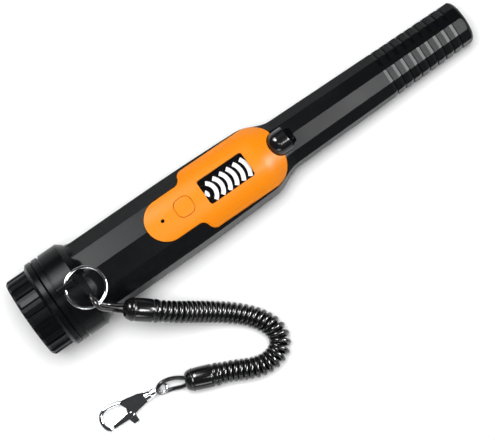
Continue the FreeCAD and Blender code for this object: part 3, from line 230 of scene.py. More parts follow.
print("pebble of", round(1 / PEBBLE / MM, 2), "mm")

# %% Plastic, rubber and foam
housing_black = moulded("housing_black", (0.0028, 0.0033, 0.0042), 0.25, depth=0.000018,
                        Specular_IOR_Level=0.08)
panel_orange = moulded("panel_orange", (0.93, 0.262, 0.005), 0.34, pebble=3400, depth=0.000012,
                       shift=0.02, Specular_IOR_Level=0.14)
inner_grey = moulded("inner_grey", (0.10, 0.10, 0.105), 0.5)
seal_black = moulded("seal_black", (0.012, 0.012, 0.012), 0.55)
foam_black = moulded("foam_black", (0.02, 0.02, 0.02), 0.9, pebble=1500, depth=0.00025)
boot_white = moulded("boot_white", (0.55, 0.54, 0.5), 0.45)
board_green = moulded("board_green", (0.01, 0.10, 0.035), 0.28, pebble=1800, depth=0.00001)
battery_wrap = moulded("battery_wrap", (0.03, 0.034, 0.045), 0.3)
wire_sleeve = moulded("wire_sleeve", (0.35, 0.015, 0.012), 0.35)
ferrite_grey = moulded("ferrite_grey", (0.025, 0.025, 0.027), 0.6, pebble=2000, depth=0.00004)
print("moulded finishes:", len(bpy.data.materials))

# %% [markdown]
# ## Glossy black, chrome and clear parts
#
# The cord is polyurethane, which comes off its mandrel as shiny as a wet pebble, with faint flow marks.
# Chrome on the ring and the hook is a mirror with hairline scratches, so its roughness stays low and a
# stretched noise tilts it slightly. The display's window is clear acrylic. It is thin, so letting light
# straight through with a constant alpha looks right and exports well, where real refraction would darken
# the picture under it.

# %% The recipes for gloss, metal and clear plastic
FLOW_MARKS = 260                # per metre
FLOW_TINT = 1.25
FLOW_ROUGHNESS = 0.08
FLOW_DEPTH = 0.00002
SMEARS = 300                    # per metre
SMEAR_TINT = 0.92
SMEAR_ROUGHNESS = 0.08
HAIRLINES = 900                 # per metre
MARKS = 180                     # on the clear parts, per metre
MARK_ROUGHNESS = 0.04


def glossy(name, colour, roughness, **constants):
    finish = Finish(name, **constants)
    flow = finish.noise(FLOW_MARKS, 3)
    finish.vary(Base_Color=finish.tint(flow, colour, [c * FLOW_TINT for c in colour]))
    finish.vary(Roughness=flow * FLOW_ROUGHNESS + (roughness - FLOW_ROUGHNESS / 2))
    finish.vary(Normal=finish.bump(flow, FLOW_DEPTH))
    return finish.material


def metal(name, colour, roughness, scratch=0.000006):
    finish = Finish(name, Metallic=1.0)
    smear = finish.noise(SMEARS, 3)
    hairlines = finish.noise(HAIRLINES, 3, stretch=(1, 7, 1))
    finish.vary(Base_Color=finish.tint(smear, [c * SMEAR_TINT for c in colour], colour))
    finish.vary(Roughness=smear * SMEAR_ROUGHNESS + (roughness - SMEAR_ROUGHNESS / 2))
    finish.vary(Normal=finish.bump(hairlines, scratch))
    return finish.material


def clear(name, colour, alpha, roughness=0.05):
    finish = Finish(name, Base_Color=(*colour, 1), Alpha=alpha)
    marks = finish.noise(MARKS, 2)
    finish.vary(Roughness=marks * MARK_ROUGHNESS + roughness)
    return finish.material


print("flow marks of", round(1 / FLOW_MARKS / MM, 1), "mm")

# %% Gloss, metal and acrylic
cord_black = glossy("cord_black", (0.004, 0.004, 0.0045), 0.22, Coat_Weight=0.4, Coat_Roughness=0.08)
gloss_black = glossy("gloss_black", (0.006, 0.006, 0.0065), 0.16)
display_black = glossy("display_black", (0.004, 0.004, 0.005), 0.12)
chrome = metal("chrome", (0.83, 0.84, 0.86), 0.10)
steel = metal("steel", (0.5, 0.5, 0.51), 0.32, scratch=0.00002)
brass = metal("brass", (0.68, 0.5, 0.2), 0.3)
copper = metal("copper", (0.7, 0.3, 0.14), 0.28)
mirror = metal("mirror", (0.9, 0.9, 0.9), 0.06)
window_clear = clear("window_clear", (0.02, 0.021, 0.023), 0.05)
led_clear = clear("led_clear", (0.92, 0.9, 0.7), 0.7, 0.12)
print("materials:", len(bpy.data.materials))

# %% [markdown]
# ## Dressing the measured solids
#
# Each CAD solid already carries a slot name in the record. One table from slot to finish therefore
# dresses them all, and a solid added later is dressed too.

# %% Give every CAD node its finish
FINISH_OF = {
    "housing_plastic": housing_black, "orange_plastic": panel_orange, "foam": foam_black,
    "seal_rubber": seal_black, "boot_silicone": boot_white, "steel": steel, "switch_metal": steel,
    "window_clear": window_clear, "led_clear": led_clear, "display_black": display_black,
    "inner_plastic": inner_grey, "black_gloss": gloss_black, "board_green": board_green,
    "motor_metal": steel, "brass": brass, "battery_case": battery_wrap, "wire_red": wire_sleeve,
    "reflector": mirror, "ferrite": ferrite_grey, "copper": copper, "chrome": chrome,
    "cord_black": cord_black,
}
slot_of = {part["node"]: part["material_slot"] for part in frame["record"]["subparts"]}
for node_name, node in frame["nodes"].items():
    node.data.materials.clear()
    node.data.materials.append(FINISH_OF[slot_of[node_name]])
print("dressed", len(slot_of), "solids")

# %% [markdown]
# ## Rounding the moulded edges
#
# A mould never leaves a razor edge, and it is the tiny round along each edge that catches the light and
# draws the bright lines on a black housing. The outer pieces are therefore copied: the copy's loose
# triangles are merged, flat patches become single faces again, and a Bevel modifier rounds every edge
# that turns by more than an angle. Weighted normals then keep the flats flat, so that a facet shines all
# over or not at all. The CAD solid is left as it is and the rounded copy stands for it.

# %% What is rounded, and how far
ROUNDED = {
    # node: (body, width of the round in millimetres, smallest turn in degrees)
    "upper_shell": ("housing", 0.35, 24), "lower_shell": ("housing", 0.35, 24),
    "face_panel": ("housing", 0.32, 30), "collar_ring": ("housing", 0.25, 28),
    "battery_cap": ("battery_cap", 0.22, 28), "power_button": ("power_button", 0.18, 35),
    "torch_housing": ("housing", 0.2, 35), "hook_body": ("snap_hook", 0.42, 35),
    "hook_gate": ("hook_gate", 0.3, 35), "gate_rivet": ("snap_hook", 0.3, 35),
}
MERGE = 0.004 * MM              # corners nearer than this are one
FLAT_ANGLE = math.radians(0.6)  # triangles that turn by less are one flat face
SHARP_ANGLE = math.radians(15)  # the shading breaks where the skin turns by more
ROUND_STEPS = 2
FLAT_WEIGHT = 100               # how far large faces outweigh small ones
print("to be rounded:", ", ".join(ROUNDED))


# %% Round the edges of the outer pieces
def applied(made):
    """The mesh that an object's modifiers give; they are removed from it."""
    bpy.context.view_layer.update()
    evaluated = made.evaluated_get(bpy.context.evaluated_depsgraph_get())
    final = bpy.data.meshes.new_from_object(evaluated)
    made.modifiers.clear()
    return final


def rounded(node_name, body, width, least_turn):
    source = frame["nodes"][node_name]
    work = bmesh.new()
    work.from_mesh(source.data)
    bmesh.ops.remove_doubles(work, verts=work.verts, dist=MERGE)
    bmesh.ops.dissolve_limit(work, angle_limit=FLAT_ANGLE, verts=work.verts, edges=work.edges)
    mesh = bpy.data.meshes.new(node_name + "_rounded")
    work.to_mesh(mesh)
    work.free()
    mesh.materials.clear()
    mesh.materials.append(source.data.materials[0])
    made = bpy.data.objects.new(node_name + "_rounded", mesh)
    scene.collection.objects.link(made)
    bevel = made.modifiers.new("round", "BEVEL")
    bevel.width = width * MM
    bevel.segments = ROUND_STEPS
    bevel.limit_method = "ANGLE"
    bevel.angle_limit = math.radians(least_turn)
    bevel.use_clamp_overlap = True
    made.data = applied(made)
    made.data.shade_smooth()
    made.data.set_sharp_from_angle(angle=SHARP_ANGLE)
    weigh = made.modifiers.new("keep_flats_flat", "WEIGHTED_NORMAL")
    weigh.mode = "FACE_AREA"
    weigh.weight = FLAT_WEIGHT
    weigh.keep_sharp = True
    made.data = applied(made)
    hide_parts(node_name)
    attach(made, body)
    print(made.name, "has", len(made.data.polygons), "faces")
    return made


outer_pieces = {name: rounded(name, *how) for name, how in ROUNDED.items()}

# %% [markdown]
# ## Tubes along a line
#
# Everything thin here is a section carried along a line: cord, ring wire, coil. The section must not
# twist on its way, so each step turns the last frame by the smallest turn that follows the line. Where a
# wire lies in a plane, as in a ring, one fixed direction does better.

# %% Directions along a line
def round_section(radius, sides):
    angles = [2 * math.pi * i / sides for i in range(sides)]
    return [(radius * math.cos(angle), radius * math.sin(angle)) for angle in angles]


def frames_along(line, flat_up=None):
    """For each point of a line: the point, its direction, and two directions across it that don't twist."""
    found = []
    side = None
    for i, point in enumerate(line):
        ahead = line[min(i + 1, len(line) - 1)]
        behind = line[max(i - 1, 0)]
        direction = (ahead - behind).normalized()
        if flat_up is not None:
            side = direction.cross(flat_up).normalized()
        elif side is None:
            spare = Vector((0, 0, 1)) if abs(direction.z) < 0.9 else Vector((1, 0, 0))
            side = direction.cross(spare).normalized()
        else:
            side = (side - direction * side.dot(direction)).normalized()
        found.append((point, direction, side, side.cross(direction)))
    return found


# %% Sweep a section along a line
def sweep(line, section, flat_up=None):
    """Vertices and faces of a closed tube: section holds (across, over) places, and a fan closes each end."""
    vertices = []
    for point, direction, side, over in frames_along(line, flat_up):
        vertices += [point + side * a + over * b for a, b in section]
    count = len(section)
    faces = []
    for first_of_ring in range(0, (len(line) - 1) * count, count):
        next_ring = first_of_ring + count
        for i in range(count):
            j = (i + 1) % count
            faces.append((first_of_ring + j, first_of_ring + i, next_ring + i, next_ring + j))
    last = (len(line) - 1) * count
    vertices += [line[0], line[-1]]
    for i in range(count):
        j = (i + 1) % count
        faces.append((i, j, len(vertices) - 2))
        faces.append((last + j, last + i, len(vertices) - 1))
    return vertices, faces


# %% Make an object of vertices and faces
def piece(name, shape, material, sharp=None):
    """A mesh object at the origin with its finish, smooth, or smooth up to an angle."""
    vertices, faces = shape
    mesh = bpy.data.meshes.new(name)
    mesh.from_pydata([tuple(v) for v in vertices], [], faces)
    mesh.validate()
    mesh.materials.append(material)
    mesh.shade_smooth()
    if sharp is not None:
        mesh.set_sharp_from_angle(angle=sharp)
    made = bpy.data.objects.new(name, mesh)
    scene.collection.objects.link(made)
    print(name, "has", len(mesh.polygons), "faces")
    return made


print("tube helpers ready")

# %% [markdown]
# ## The lanyard's line
#
# A cord is one smooth curve. A NURBS spline of order 3 stays inside its control points, so a few points
# placed where the cord turns give the whole lie. The points are those of the measured route: from the
# ring's ferrule down over the collar's edge, along the table, round in a bend, and back to the hook's
# ferrule. Blender turns the curve into a mesh of fine steps, and the cord's own helix is then wound round
# those.

# %% Read a line from a spline
def length_of(line):
    return sum((b - a).length for a, b in zip(line, line[1:]))


def spline_line(name, points, steps=24):
    """Points along the NURBS curve that has these control points, in millimetres; returned in metres."""
    curve = bpy.data.curves.new(name, "CURVE")
    curve.dimensions = "3D"
    curve.resolution_u = steps
    spline = curve.splines.new("NURBS")
    spline.points.add(len(points) - 1)
    for control, place in zip(spline.points, points):
        control.co = (*(Vector(place) * MM), 1)
    spline.order_u = 3
    spline.use_endpoint_u = True
    carrier = bpy.data.objects.new(name, curve)
    scene.collection.objects.link(carrier)
    bpy.context.view_layer.update()
    mesh = bpy.data.meshes.new_from_object(carrier)
    line = [v.co.copy() for v in mesh.vertices]
    bpy.data.objects.remove(carrier)
    bpy.data.meshes.remove(mesh)
    print(name, "line has", len(line), "points and is", round(length_of(line) / MM, 1), "mm long")
    return line


# %% The coil's route
COIL_ROUTE = [
    (-70.4, -30.9, 24.6), (-64.9, -35.2, 21.8), (-58.6, -39.3, 16.6), (-52.1, -43.6, 11.2),
    (-45.4, -48.5, 7.2), (-38.9, -54.3, 5.5), (-34.3, -60.4, 5.5), (-31.2, -67.6, 5.5),
    (-32.9, -74.6, 5.5), (-39.2, -78.2, 5.5), (-46.6, -78.0, 5.5), (-53.4, -75.1, 5.5),
    (-59.1, -71.9, 5.6), (-65.0, -69.5, 5.6),
]
coil_line = spline_line("coil_route", COIL_ROUTE)

# %% [markdown]
# ## The coiled cord
#
# The cord is about 2.4 mm thick and is wound so tightly at rest that its turns touch. Where the coil
# bends, the turns stay in touch on the inside and open like a fan on the outside, so the distance between
# turns grows with the bend. The loop below walks along the line, adds up the turn that each short step is
# worth, and puts a point at the coil's radius.

# %% Sizes of the coil
CORD_DIAMETER = 2.36 * MM
COIL_RADIUS = 4.04 * MM         # middle of the cord
COIL_PITCH = 2.46 * MM
STEPS_PER_TURN = 26
BURY = 1.3 * MM                 # of the cord's ends in the ferrules
FAN_SHARE = 0.5                 # of the bend that opens the turns
FAN_MOST = 0.2
CORD_SIDES = 12
print("the coil is", round(2 * (COIL_RADIUS + CORD_DIAMETER / 2) / MM, 1), "mm across")

# %% Wind a helix round a line
def resampled(line, step):
    """The same line in equal steps."""
    out = [line[0].copy()]
    left = step
    for a, b in zip(line, line[1:]):
        span = (b - a).length
        done = 0.0
        while span - done >= left:
            done += left
            out.append(a.lerp(b, done / span))
            left = step
        left -= span - done
    return out


def wind(line, radius, pitch):
    """The helix round a line, and how many turns it makes."""
    fine = resampled(line, pitch / STEPS_PER_TURN)
    frames = frames_along(fine)
    helix = []
    turn = 0.0
    for i, (point, _, side, over) in enumerate(frames):
        helix.append(point + side * (radius * math.cos(turn)) + over * (radius * math.sin(turn)))
        before = max(i - STEPS_PER_TURN, 0)
        after = min(i + STEPS_PER_TURN, len(fine) - 1)
        span = (fine[after] - fine[before]).length
        bend = frames[before][1].angle(frames[after][1]) / span
        spread = 1 - min(FAN_MOST, FAN_SHARE * bend * radius)
        turn += 2 * math.pi / STEPS_PER_TURN * spread
    return helix, turn / (2 * math.pi)


# %% Wind the coil
into_ring_ferrule = (coil_line[0] - coil_line[1]).normalized() * BURY
into_hook_ferrule = (coil_line[-1] - coil_line[-2]).normalized() * BURY
buried_line = [coil_line[0] + into_ring_ferrule, *coil_line, coil_line[-1] + into_hook_ferrule]
helix, turns = wind(buried_line, COIL_RADIUS, COIL_PITCH)
coil_shape = sweep(helix, round_section(CORD_DIAMETER / 2, CORD_SIDES))
coil = piece("coil_cord_helix", coil_shape, cord_black)
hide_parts("coil_cord")
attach(coil, "lanyard")
print("coil:", round(turns, 1), "turns,", round(length_of(helix), 3), "m of cord")

# %% [markdown]
# ## The two loops
#
# At each end a thinner cord leaves the ferrule as two strands, goes round a wire and comes back. The
# points near the wire stand further out than the cord does, because the smooth curve cuts inside them.

# %% Routes of the two loops
LOOP_DIAMETER = 2.0 * MM
LOOP_SIDES = 20
RING_LOOP = [
    (-82.6, -22.9, 30.0), (-84.6, -21.3, 31.9), (-86.2, -19.8, 36.4), (-88.2, -18.2, 40.6),
    (-90.0, -16.6, 44.8), (-90.4, -13.4, 47.8), (-90.3, -9.4, 46.8), (-90.3, -8.9, 42.2),
    (-90.2, -12.0, 38.8), (-88.4, -15.0, 37.6), (-85.8, -17.2, 36.0), (-83.2, -19.2, 31.8),
    (-80.8, -20.6, 30.0),
]
HOOK_LOOP = [
    (-78.9, -62.2, 5.6), (-81.6, -60.0, 5.8), (-85.6, -58.1, 6.3), (-89.6, -57.5, 6.9),
    (-92.4, -58.6, 6.3), (-93.4, -60.4, 3.7), (-92.2, -61.4, 1.4), (-89.6, -61.9, 1.3),
    (-86.2, -63.0, 1.6), (-82.6, -64.6, 3.6), (-79.6, -65.1, 5.2), (-78.0, -65.4, 5.6),
]

# %% Sweep the two loops
ring_loop_line = spline_line("ring_loop_route", RING_LOOP)
hook_loop_line = spline_line("hook_loop_route", HOOK_LOOP)
loop_section = round_section(LOOP_DIAMETER / 2, LOOP_SIDES)
ring_loop = piece("ring_loop_strands", sweep(ring_loop_line, loop_section), cord_black)
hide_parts("ring_loop_cord")
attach(ring_loop, "lanyard")
hook_loop = piece("hook_loop_strands", sweep(hook_loop_line, loop_section), cord_black)
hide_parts("hook_loop_cord")
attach(hook_loop, "lanyard")

# %% [markdown]
# ## Ferrules
#
# A moulded sleeve grips the loop's two strands and the coil's end. It is a turned shape with a round
# nose, a raised ring behind it and a shallow groove near the coil, so a lathe profile says everything
# about it.

# %% Turn a profile round an axis
def lathe(profile, start, direction, sides=64):
    """Vertices and faces of a closed turned shape: profile holds (distance along the axis, radius)."""
    across = direction.orthogonal().normalized()
    over = direction.cross(across)
    inner = profile[1:-1]
    vertices = []
    for along, radius in inner:
        for x, y in round_section(radius, sides):
            vertices.append(start + direction * along + across * x + over * y)
    faces = []
    for first_of_ring in range(0, (len(inner) - 1) * sides, sides):
        next_ring = first_of_ring + sides
        for i in range(sides):
            j = (i + 1) % sides
            faces.append((first_of_ring + i, first_of_ring + j, next_ring + j, next_ring + i))
    last = (len(inner) - 1) * sides
    vertices += [start + direction * profile[0][0], start + direction * profile[-1][0]]
    for i in range(sides):
        j = (i + 1) % sides
        faces.append((j, i, len(vertices) - 2))
        faces.append((last + i, last + j, len(vertices) - 1))
    return vertices, faces


# %% Turn the ferrules
FERRULE = [
    (0.0, 0.0), (0.0, 2.9), (0.12, 3.4), (0.45, 3.9), (1.0, 4.4), (1.7, 4.8), (2.4, 5.05),
    (3.0, 5.16), (3.12, 5.3), (3.3, 5.44), (3.6, 5.5), (3.9, 5.44), (4.08, 5.3), (4.2, 5.2),
    (4.6, 5.3), (6.0, 5.42), (9.6, 5.48), (12.4, 5.45), (12.95, 5.38), (13.1, 5.2), (13.16, 4.98),
    (13.3, 4.92), (13.9, 4.92), (14.04, 4.98), (14.1, 5.2), (14.25, 5.38), (14.7, 5.45),
    (15.5, 5.4), (15.85, 5.25), (16.0, 4.95), (16.0, 0.0),
]
FERRULE_ENDS = {
    "ring_ferrule": ((-82.1, -21.75, 30.56), (-70.4, -30.9, 24.6)),
    "hook_ferrule": ((-79.82, -63.47, 5.6), (-65.0, -69.5, 5.6)),
}
profile = [(x * MM, r * MM) for x, r in FERRULE]
for node_name, (nose_end, coil_end) in FERRULE_ENDS.items():
    axis = (Vector(coil_end) - Vector(nose_end)).normalized()
    shape = lathe(profile, Vector(nose_end) * MM, axis)
    turned = piece(node_name + "_turned", shape, gloss_black)
    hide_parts(node_name)
    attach(turned, "lanyard")

# %% [markdown]
# ## The split ring
#
# A split ring is two turns of flattened spring wire that lie on each other. Its two free ends show as
# small steps. The wire is swept with the ring's own axis as the fixed direction, so both turns stay flat
# against each other.

# %% Sizes of the split ring
RING_CENTRE = Vector((-90.08, -5.05, 43.78)) * MM
RING_AXIS = Vector((0.16938, -0.06976, 0.98308)).normalized()
RING_RADIUS = 9.3 * MM
RING_WIRE = (1.2 * MM, 0.86 * MM)
RING_RISE = 0.93 * MM           # from one turn of wire to the next
RING_STEPS = 96                 # in one turn
RING_GAP = 4                    # steps left out of the two turns, between the free ends
RING_POINTS = 2 * RING_STEPS - RING_GAP + 1
START_TURN = 0.62               # where the wire's free ends lie, in turns
WIRE_ROUND = 0.3 * MM
WIRE_SHARP = math.radians(60)
print("the ring is", round(2 * RING_RADIUS / MM + RING_WIRE[0] / MM, 1), "mm across")


# %% Wind the split ring
def rounded_section(width, height, radius, steps=4):
    """A rectangle with round corners, as (across, over) places in order."""
    places = []
    for corner, (sx, sy) in enumerate(((1, 1), (-1, 1), (-1, -1), (1, -1))):
        for i in range(steps + 1):
            angle = math.pi / 2 * (corner + i / steps)
            places.append((sx * (width / 2 - radius) + radius * math.cos(angle),
                           sy * (height / 2 - radius) + radius * math.sin(angle)))
    return places


ring_x = Vector((1, 0, 0)).cross(RING_AXIS).normalized()
ring_y = RING_AXIS.cross(ring_x)
ring_line = []
for i in range(RING_POINTS):
    angle = 2 * math.pi * (i / RING_STEPS + START_TURN)
    rise = (i / (RING_POINTS - 1) - 0.5) * RING_RISE
    flat_place = ring_x * math.cos(angle) + ring_y * math.sin(angle)
    ring_line.append(RING_CENTRE + flat_place * RING_RADIUS + RING_AXIS * rise)
ring_shape = sweep(ring_line, rounded_section(*RING_WIRE, WIRE_ROUND), flat_up=RING_AXIS)
ring = piece("split_ring_wire", ring_shape, chrome, sharp=WIRE_SHARP)
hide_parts("split_ring")
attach(ring, "split_ring")


# %% Measure how near the loop comes
def clearance(line, centre, axis, radius):
    """Smallest distance from a line to a ring's centreline."""
    def gap(point):
        offset = point - centre
        height = offset.dot(axis)
        return math.hypot((offset - axis * height).length - radius, height)
    return min(gap(point) for point in line)


nearest = clearance(ring_loop_line, RING_CENTRE, RING_AXIS, RING_RADIUS)
print("ring loop to ring wire:", round(nearest / MM, 2), "mm")

# %% [markdown]
# ## The picture on the display
#
# The display shows a signal that spreads from a source: a small fan and six arcs that grow towards the
# tip. Arcs that repeat with a growing radius are work for Geometry Nodes. Points in a row each get a copy
# of one arc, the copy's scale comes from the point's index, and only then is the stroke given its width,
# so that every stroke is equally wide.

# %% Sizes of the picture
DISPLAY_LOW, DISPLAY_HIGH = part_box("display_module")
PROBE_TILT = math.radians(2.7757)
STROKE = 2.1 * MM
ARC_COUNT = 6
ARC_STEP = 2.96 * MM            # from one arc's middle point to the next one's
ARC_RADIUS = 5.4 * MM           # of the first arc
ARC_GROWTH = 0.64 * MM          # of the radius from each arc to the next
ARC_HALF = 5.3 * MM             # half the height of the picture
FAN_RADIUS = 1.35 * MM          # middle of the fan at the source
FAN_ANGLE = math.radians(50)
FAN_X = -0.3 * MM
INK = 0.06 * MM                 # thickness of the picture
ARC_START = -11.9 * MM          # the first arc's centre from the middle of the display
ARC_SHIFT = -0.55 * MM          # the picture sits a little low in its window
LIFT = 0.06 * MM                # of the picture over the display
ARC_POINTS = 120
FAN_POINTS = 24
print("display:", [round(v / MM, 1) for v in DISPLAY_HIGH - DISPLAY_LOW], "mm")


# %% Helpers for a tree of nodes
def add_input(tree, name, kind, value):
    tree.interface.new_socket(name=name, in_out="INPUT", socket_type=kind).default_value = value


def geometry_node(tree, kind, settings=(), **inputs):
    made = tree.nodes.new(kind)
    for key, value in dict(settings).items():
        setattr(made, key, value)
    for key, value in inputs.items():
        target = made.inputs[key.replace("_", " ")]
        if isinstance(value, bpy.types.NodeSocket):
            tree.links.new(value, target)
        else:
            target.default_value = value
    return made


def maths(tree, operation, first, second):
    node = geometry_node(tree, "ShaderNodeMath", {"operation": operation})
    for target, value in zip(node.inputs, (first, second)):
        if isinstance(value, bpy.types.NodeSocket):
            tree.links.new(value, target)
        else:
            target.default_value = value
    return node.outputs[0]


# %% The white of the picture
picture = Finish("picture_white", Emission_Strength=0.25)
glow = picture.noise(400, 2)
picture.vary(Base_Color=picture.tint(glow, (0.84, 0.85, 0.86), (0.93, 0.93, 0.94)))
picture.vary(Roughness=glow * 0.1 + 0.3)
picture.vary(Emission_Color=picture.tint(glow, (0.9, 0.92, 0.95), (1.0, 1.0, 1.0)))
picture_white = picture.material
print("the picture's own light:", picture.surface.inputs["Emission Strength"].default_value)


# %% The tree of the arcs
def signal_tree():
    tree = bpy.data.node_groups.new("signal_arcs", "GeometryNodeTree")
    tree.interface.new_socket(name="Geometry", in_out="INPUT", socket_type="NodeSocketGeometry")
    add_input(tree, "Arcs", "NodeSocketInt", ARC_COUNT)
    for name, value in (("Step", ARC_STEP), ("Radius", ARC_RADIUS), ("Growth", ARC_GROWTH),
                        ("Stroke", STROKE), ("Half height", ARC_HALF), ("Thickness", INK)):
        add_input(tree, name, "NodeSocketFloat", value)
    tree.interface.new_socket(name="Geometry", in_out="OUTPUT", socket_type="NodeSocketGeometry")
    given = tree.nodes.new("NodeGroupInput").outputs
    result = tree.nodes.new("NodeGroupOutput").inputs
    # a row of points, and on each an arc that is larger than the one before
    index = geometry_node(tree, "GeometryNodeInputIndex").outputs[0]
    offset = geometry_node(tree, "ShaderNodeCombineXYZ")
    tree.links.new(given["Step"], offset.inputs[0])
    row = geometry_node(tree, "GeometryNodeMeshLine", Count=given["Arcs"], Offset=offset.outputs[0])
    arc = geometry_node(tree, "GeometryNodeCurveArc", Resolution=ARC_POINTS, Radius=1.0,
                        Start_Angle=-math.pi / 2, Sweep_Angle=math.pi)
    radius = maths(tree, "ADD", maths(tree, "MULTIPLY", index, given["Growth"]), given["Radius"])
    placed = geometry_node(tree, "GeometryNodeInstanceOnPoints", Points=row.outputs[0],
                           Instance=arc.outputs[0], Scale=radius)
    # the fan at the source is a short arc of a small radius, as wide as a stroke
    source = geometry_node(tree, "GeometryNodeCurveArc", Resolution=FAN_POINTS, Radius=FAN_RADIUS,
                           Start_Angle=-FAN_ANGLE, Sweep_Angle=2 * FAN_ANGLE)
    moved = geometry_node(tree, "GeometryNodeTransform", Geometry=source.outputs[0],
                          Translation=(FAN_X, 0, 0))
    lines = geometry_node(tree, "GeometryNodeJoinGeometry")
    tree.links.new(moved.outputs[0], lines.inputs[0])
    tree.links.new(placed.outputs[0], lines.inputs[0])
    # the stroke is given its width after the copies are real, so that it isn't scaled with them
    real = geometry_node(tree, "GeometryNodeRealizeInstances", Geometry=lines.outputs[0])
    bar = geometry_node(tree, "GeometryNodeCurvePrimitiveQuadrilateral", Width=given["Stroke"],
                        Height=given["Thickness"])
    stroke = geometry_node(tree, "GeometryNodeCurveToMesh", Curve=real.outputs[0],
                           Profile_Curve=bar.outputs[0], Fill_Caps=True)
    # what is higher or lower than the picture is cut off
    place = geometry_node(tree, "GeometryNodeInputPosition").outputs[0]
    parts = geometry_node(tree, "ShaderNodeSeparateXYZ")
    tree.links.new(place, parts.inputs[0])
    height = maths(tree, "ABSOLUTE", parts.outputs[1], 0.0)
    outside = maths(tree, "GREATER_THAN", height, given["Half height"])
    cut = geometry_node(tree, "GeometryNodeDeleteGeometry", {"domain": "POINT"},
                        Geometry=stroke.outputs[0], Selection=outside)
    whole = geometry_node(tree, "GeometryNodeRealizeInstances", Geometry=cut.outputs[0])
    painted = geometry_node(tree, "GeometryNodeSetMaterial", Geometry=whole.outputs[0],
                            Material=picture_white)
    tree.links.new(painted.outputs[0], result[0])
    return tree


signal_arcs = signal_tree()
print("the tree has", len(signal_arcs.nodes), "nodes")


# %% Run the tree and place its result
def grown(name, tree, place):
    """Runs a Geometry Nodes tree on an empty mesh and keeps its result as a plain mesh, moved into place."""
    seed = bpy.data.objects.new(name + "_seed", bpy.data.meshes.new(name + "_seed"))
    scene.collection.objects.link(seed)
    modifier = seed.modifiers.new("nodes", "NODES")
    modifier.node_group = tree
    for entry in tree.interface.items_tree:
        if entry.in_out == "INPUT" and entry.socket_type != "NodeSocketGeometry":
            modifier[entry.identifier] = entry.default_value
    bpy.context.view_layer.update()
    evaluated = seed.evaluated_get(bpy.context.evaluated_depsgraph_get())
    mesh = bpy.data.meshes.new_from_object(evaluated)
    seed.modifiers.clear()
    bpy.data.objects.remove(seed)
    mesh.transform(place)
    made = bpy.data.objects.new(name, mesh)
    scene.collection.objects.link(made)
    print(name, "has", len(mesh.polygons), "faces")
    return made


display_middle = (DISPLAY_LOW + DISPLAY_HIGH) / 2
tilt = Matrix.Rotation(PROBE_TILT, 4, "Y")
half_drop = (DISPLAY_HIGH.x - DISPLAY_LOW.x) / 2 * math.sin(PROBE_TILT)
top_middle = Vector((display_middle.x, 0, DISPLAY_HIGH.z - half_drop))
in_window = Matrix.Translation(Vector((ARC_START, ARC_SHIFT, LIFT)))
picture_place = Matrix.Translation(top_middle) @ tilt @ in_window
signal = grown("signal_picture", signal_arcs, picture_place)
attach(signal, "housing")

# %% [markdown]
# ## Table and light
#
# The table is a plain pale sheet, lit by one large lamp overhead. Black plastic shows nothing but what it
# reflects, so that lamp is kept out of reflections, and nine smaller ones appear in them alone. The one
# on the far side lights the facet beside the ridge and the collar, and one over the cap lights its ribs.
# One over the shaft lights the shaft's near facet, and one beyond the tip is caught by the ramps of the
# grip. The zenith and the near side have a faint one each, and three low ones draw the edges of the
# chrome. The sky behind them is nearly dark.

# %% Table
FLOOR_SIZE = 4.0
FLOOR_DROP = 0.3 * MM           # under the level that the object lies on
floor_mesh = bpy.data.meshes.new("table")
edge = FLOOR_SIZE / 2
corners = [(-edge, -edge, -FLOOR_DROP), (edge, -edge, -FLOOR_DROP), (edge, edge, -FLOOR_DROP),
           (-edge, edge, -FLOOR_DROP)]
floor_mesh.from_pydata(corners, [], [(0, 1, 2, 3)])
table_finish = Finish("table_white", Roughness=0.9, Specular_IOR_Level=0.0)
clouds = table_finish.noise(6)
table_finish.vary(Base_Color=table_finish.tint(clouds, (0.9, 0.9, 0.9), (0.92, 0.92, 0.92)))
floor_mesh.materials.append(table_finish.material)
table = bpy.data.objects.new("table", floor_mesh)
scene.collection.objects.link(table)
print("a table of", FLOOR_SIZE, "m")


# %% Lamps
def lamp(name, place, aim, size, watts):
    data = bpy.data.lights.new(name, "AREA")
    data.shape = "RECTANGLE"
    data.size, data.size_y = size
    data.energy = watts
    made = bpy.data.objects.new(name, data)
    scene.collection.objects.link(made)
    place = Vector(place)
    direction = (Vector(aim) - place).normalized()
    turned_to_aim = direction.to_track_quat("-Z", "Y").to_matrix().to_4x4()
    made.matrix_world = Matrix.Translation(place) @ turned_to_aim
    return made


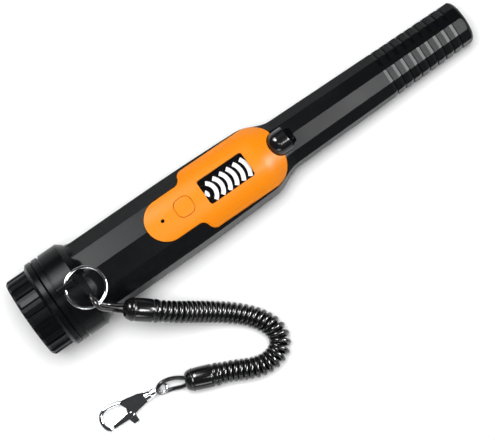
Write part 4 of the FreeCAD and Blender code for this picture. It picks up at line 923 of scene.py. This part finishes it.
streaks = [
    lamp("far_side", (-0.2, 0.72, 0.78), (-0.06, 0, 0.02), (0.42, 0.5), 8.5),
    lamp("over_cap", (-0.18, 0.5, 0.8), (-0.11, 0, 0.02), (0.2, 0.3), 5),
    lamp("over_shaft", (0.27, -0.38, 0.78), (0.08, 0, 0.02), (0.26, 0.16), 4.4),
    lamp("beyond_tip", (0.72, -0.36, 0.62), (0.10, 0, 0.02), (0.4, 0.3), 22),
    lamp("zenith", (-0.05, -0.28, 1.25), (-0.05, -0.03, 0), (0.25, 0.12), 1),
    lamp("near_side", (-0.45, -0.75, 0.35), (-0.05, -0.03, 0.02), (0.4, 0.2), 1.2),
    lamp("low_left", (-0.95, -0.35, 0.16), (-0.03, -0.03, 0.02), (0.9, 0.22), 0.8),
    lamp("low_near", (-0.4, -1, 0.16), (-0.03, -0.03, 0.02), (0.9, 0.22), 0.25),
    lamp("low_right", (1, -0.3, 0.16), (-0.03, -0.03, 0.02), (0.9, 0.22), 0.8),
]
for streak in streaks:
    streak.visible_diffuse = False      # they only show as streaks in gloss and chrome
overhead = lamp("overhead", (0.0, 0.05, 1.6), (0, 0, 0), (0.9, 0.9), 33)
overhead.visible_glossy = False         # it lights the table and leaves no glare on the housing
print("lamps:", len(bpy.data.lights))

# %% Sky
SKY_STRENGTH = 0.05
world = bpy.data.worlds.new("sky")
scene.world = world
world.use_nodes = True
world.node_tree.nodes["Background"].inputs["Color"].default_value = (0.9, 0.94, 1, 1)
world.node_tree.nodes["Background"].inputs["Strength"].default_value = SKY_STRENGTH
print("a sky of strength", SKY_STRENGTH)

# %% [markdown]
# ## The cords and the hook
#
# The coil and the ring's loop are free cords, and the length of each is measured here. The hook's loop is
# shorter than a free cord may be, and goes with the coil as one of the pieces on it. The hook's loop is
# short. The hook's eye, body, gate and rivet are gathered in one list.

hook_parts = [frame["nodes"]["swivel_eye"]]
hook_parts += [outer_pieces[name] for name in ("hook_body", "hook_gate", "gate_rivet")]
length_of(ring_loop_line)
length_of(helix)
print("two free cords, with", len(hook_parts), "hook pieces at the end of the coil")
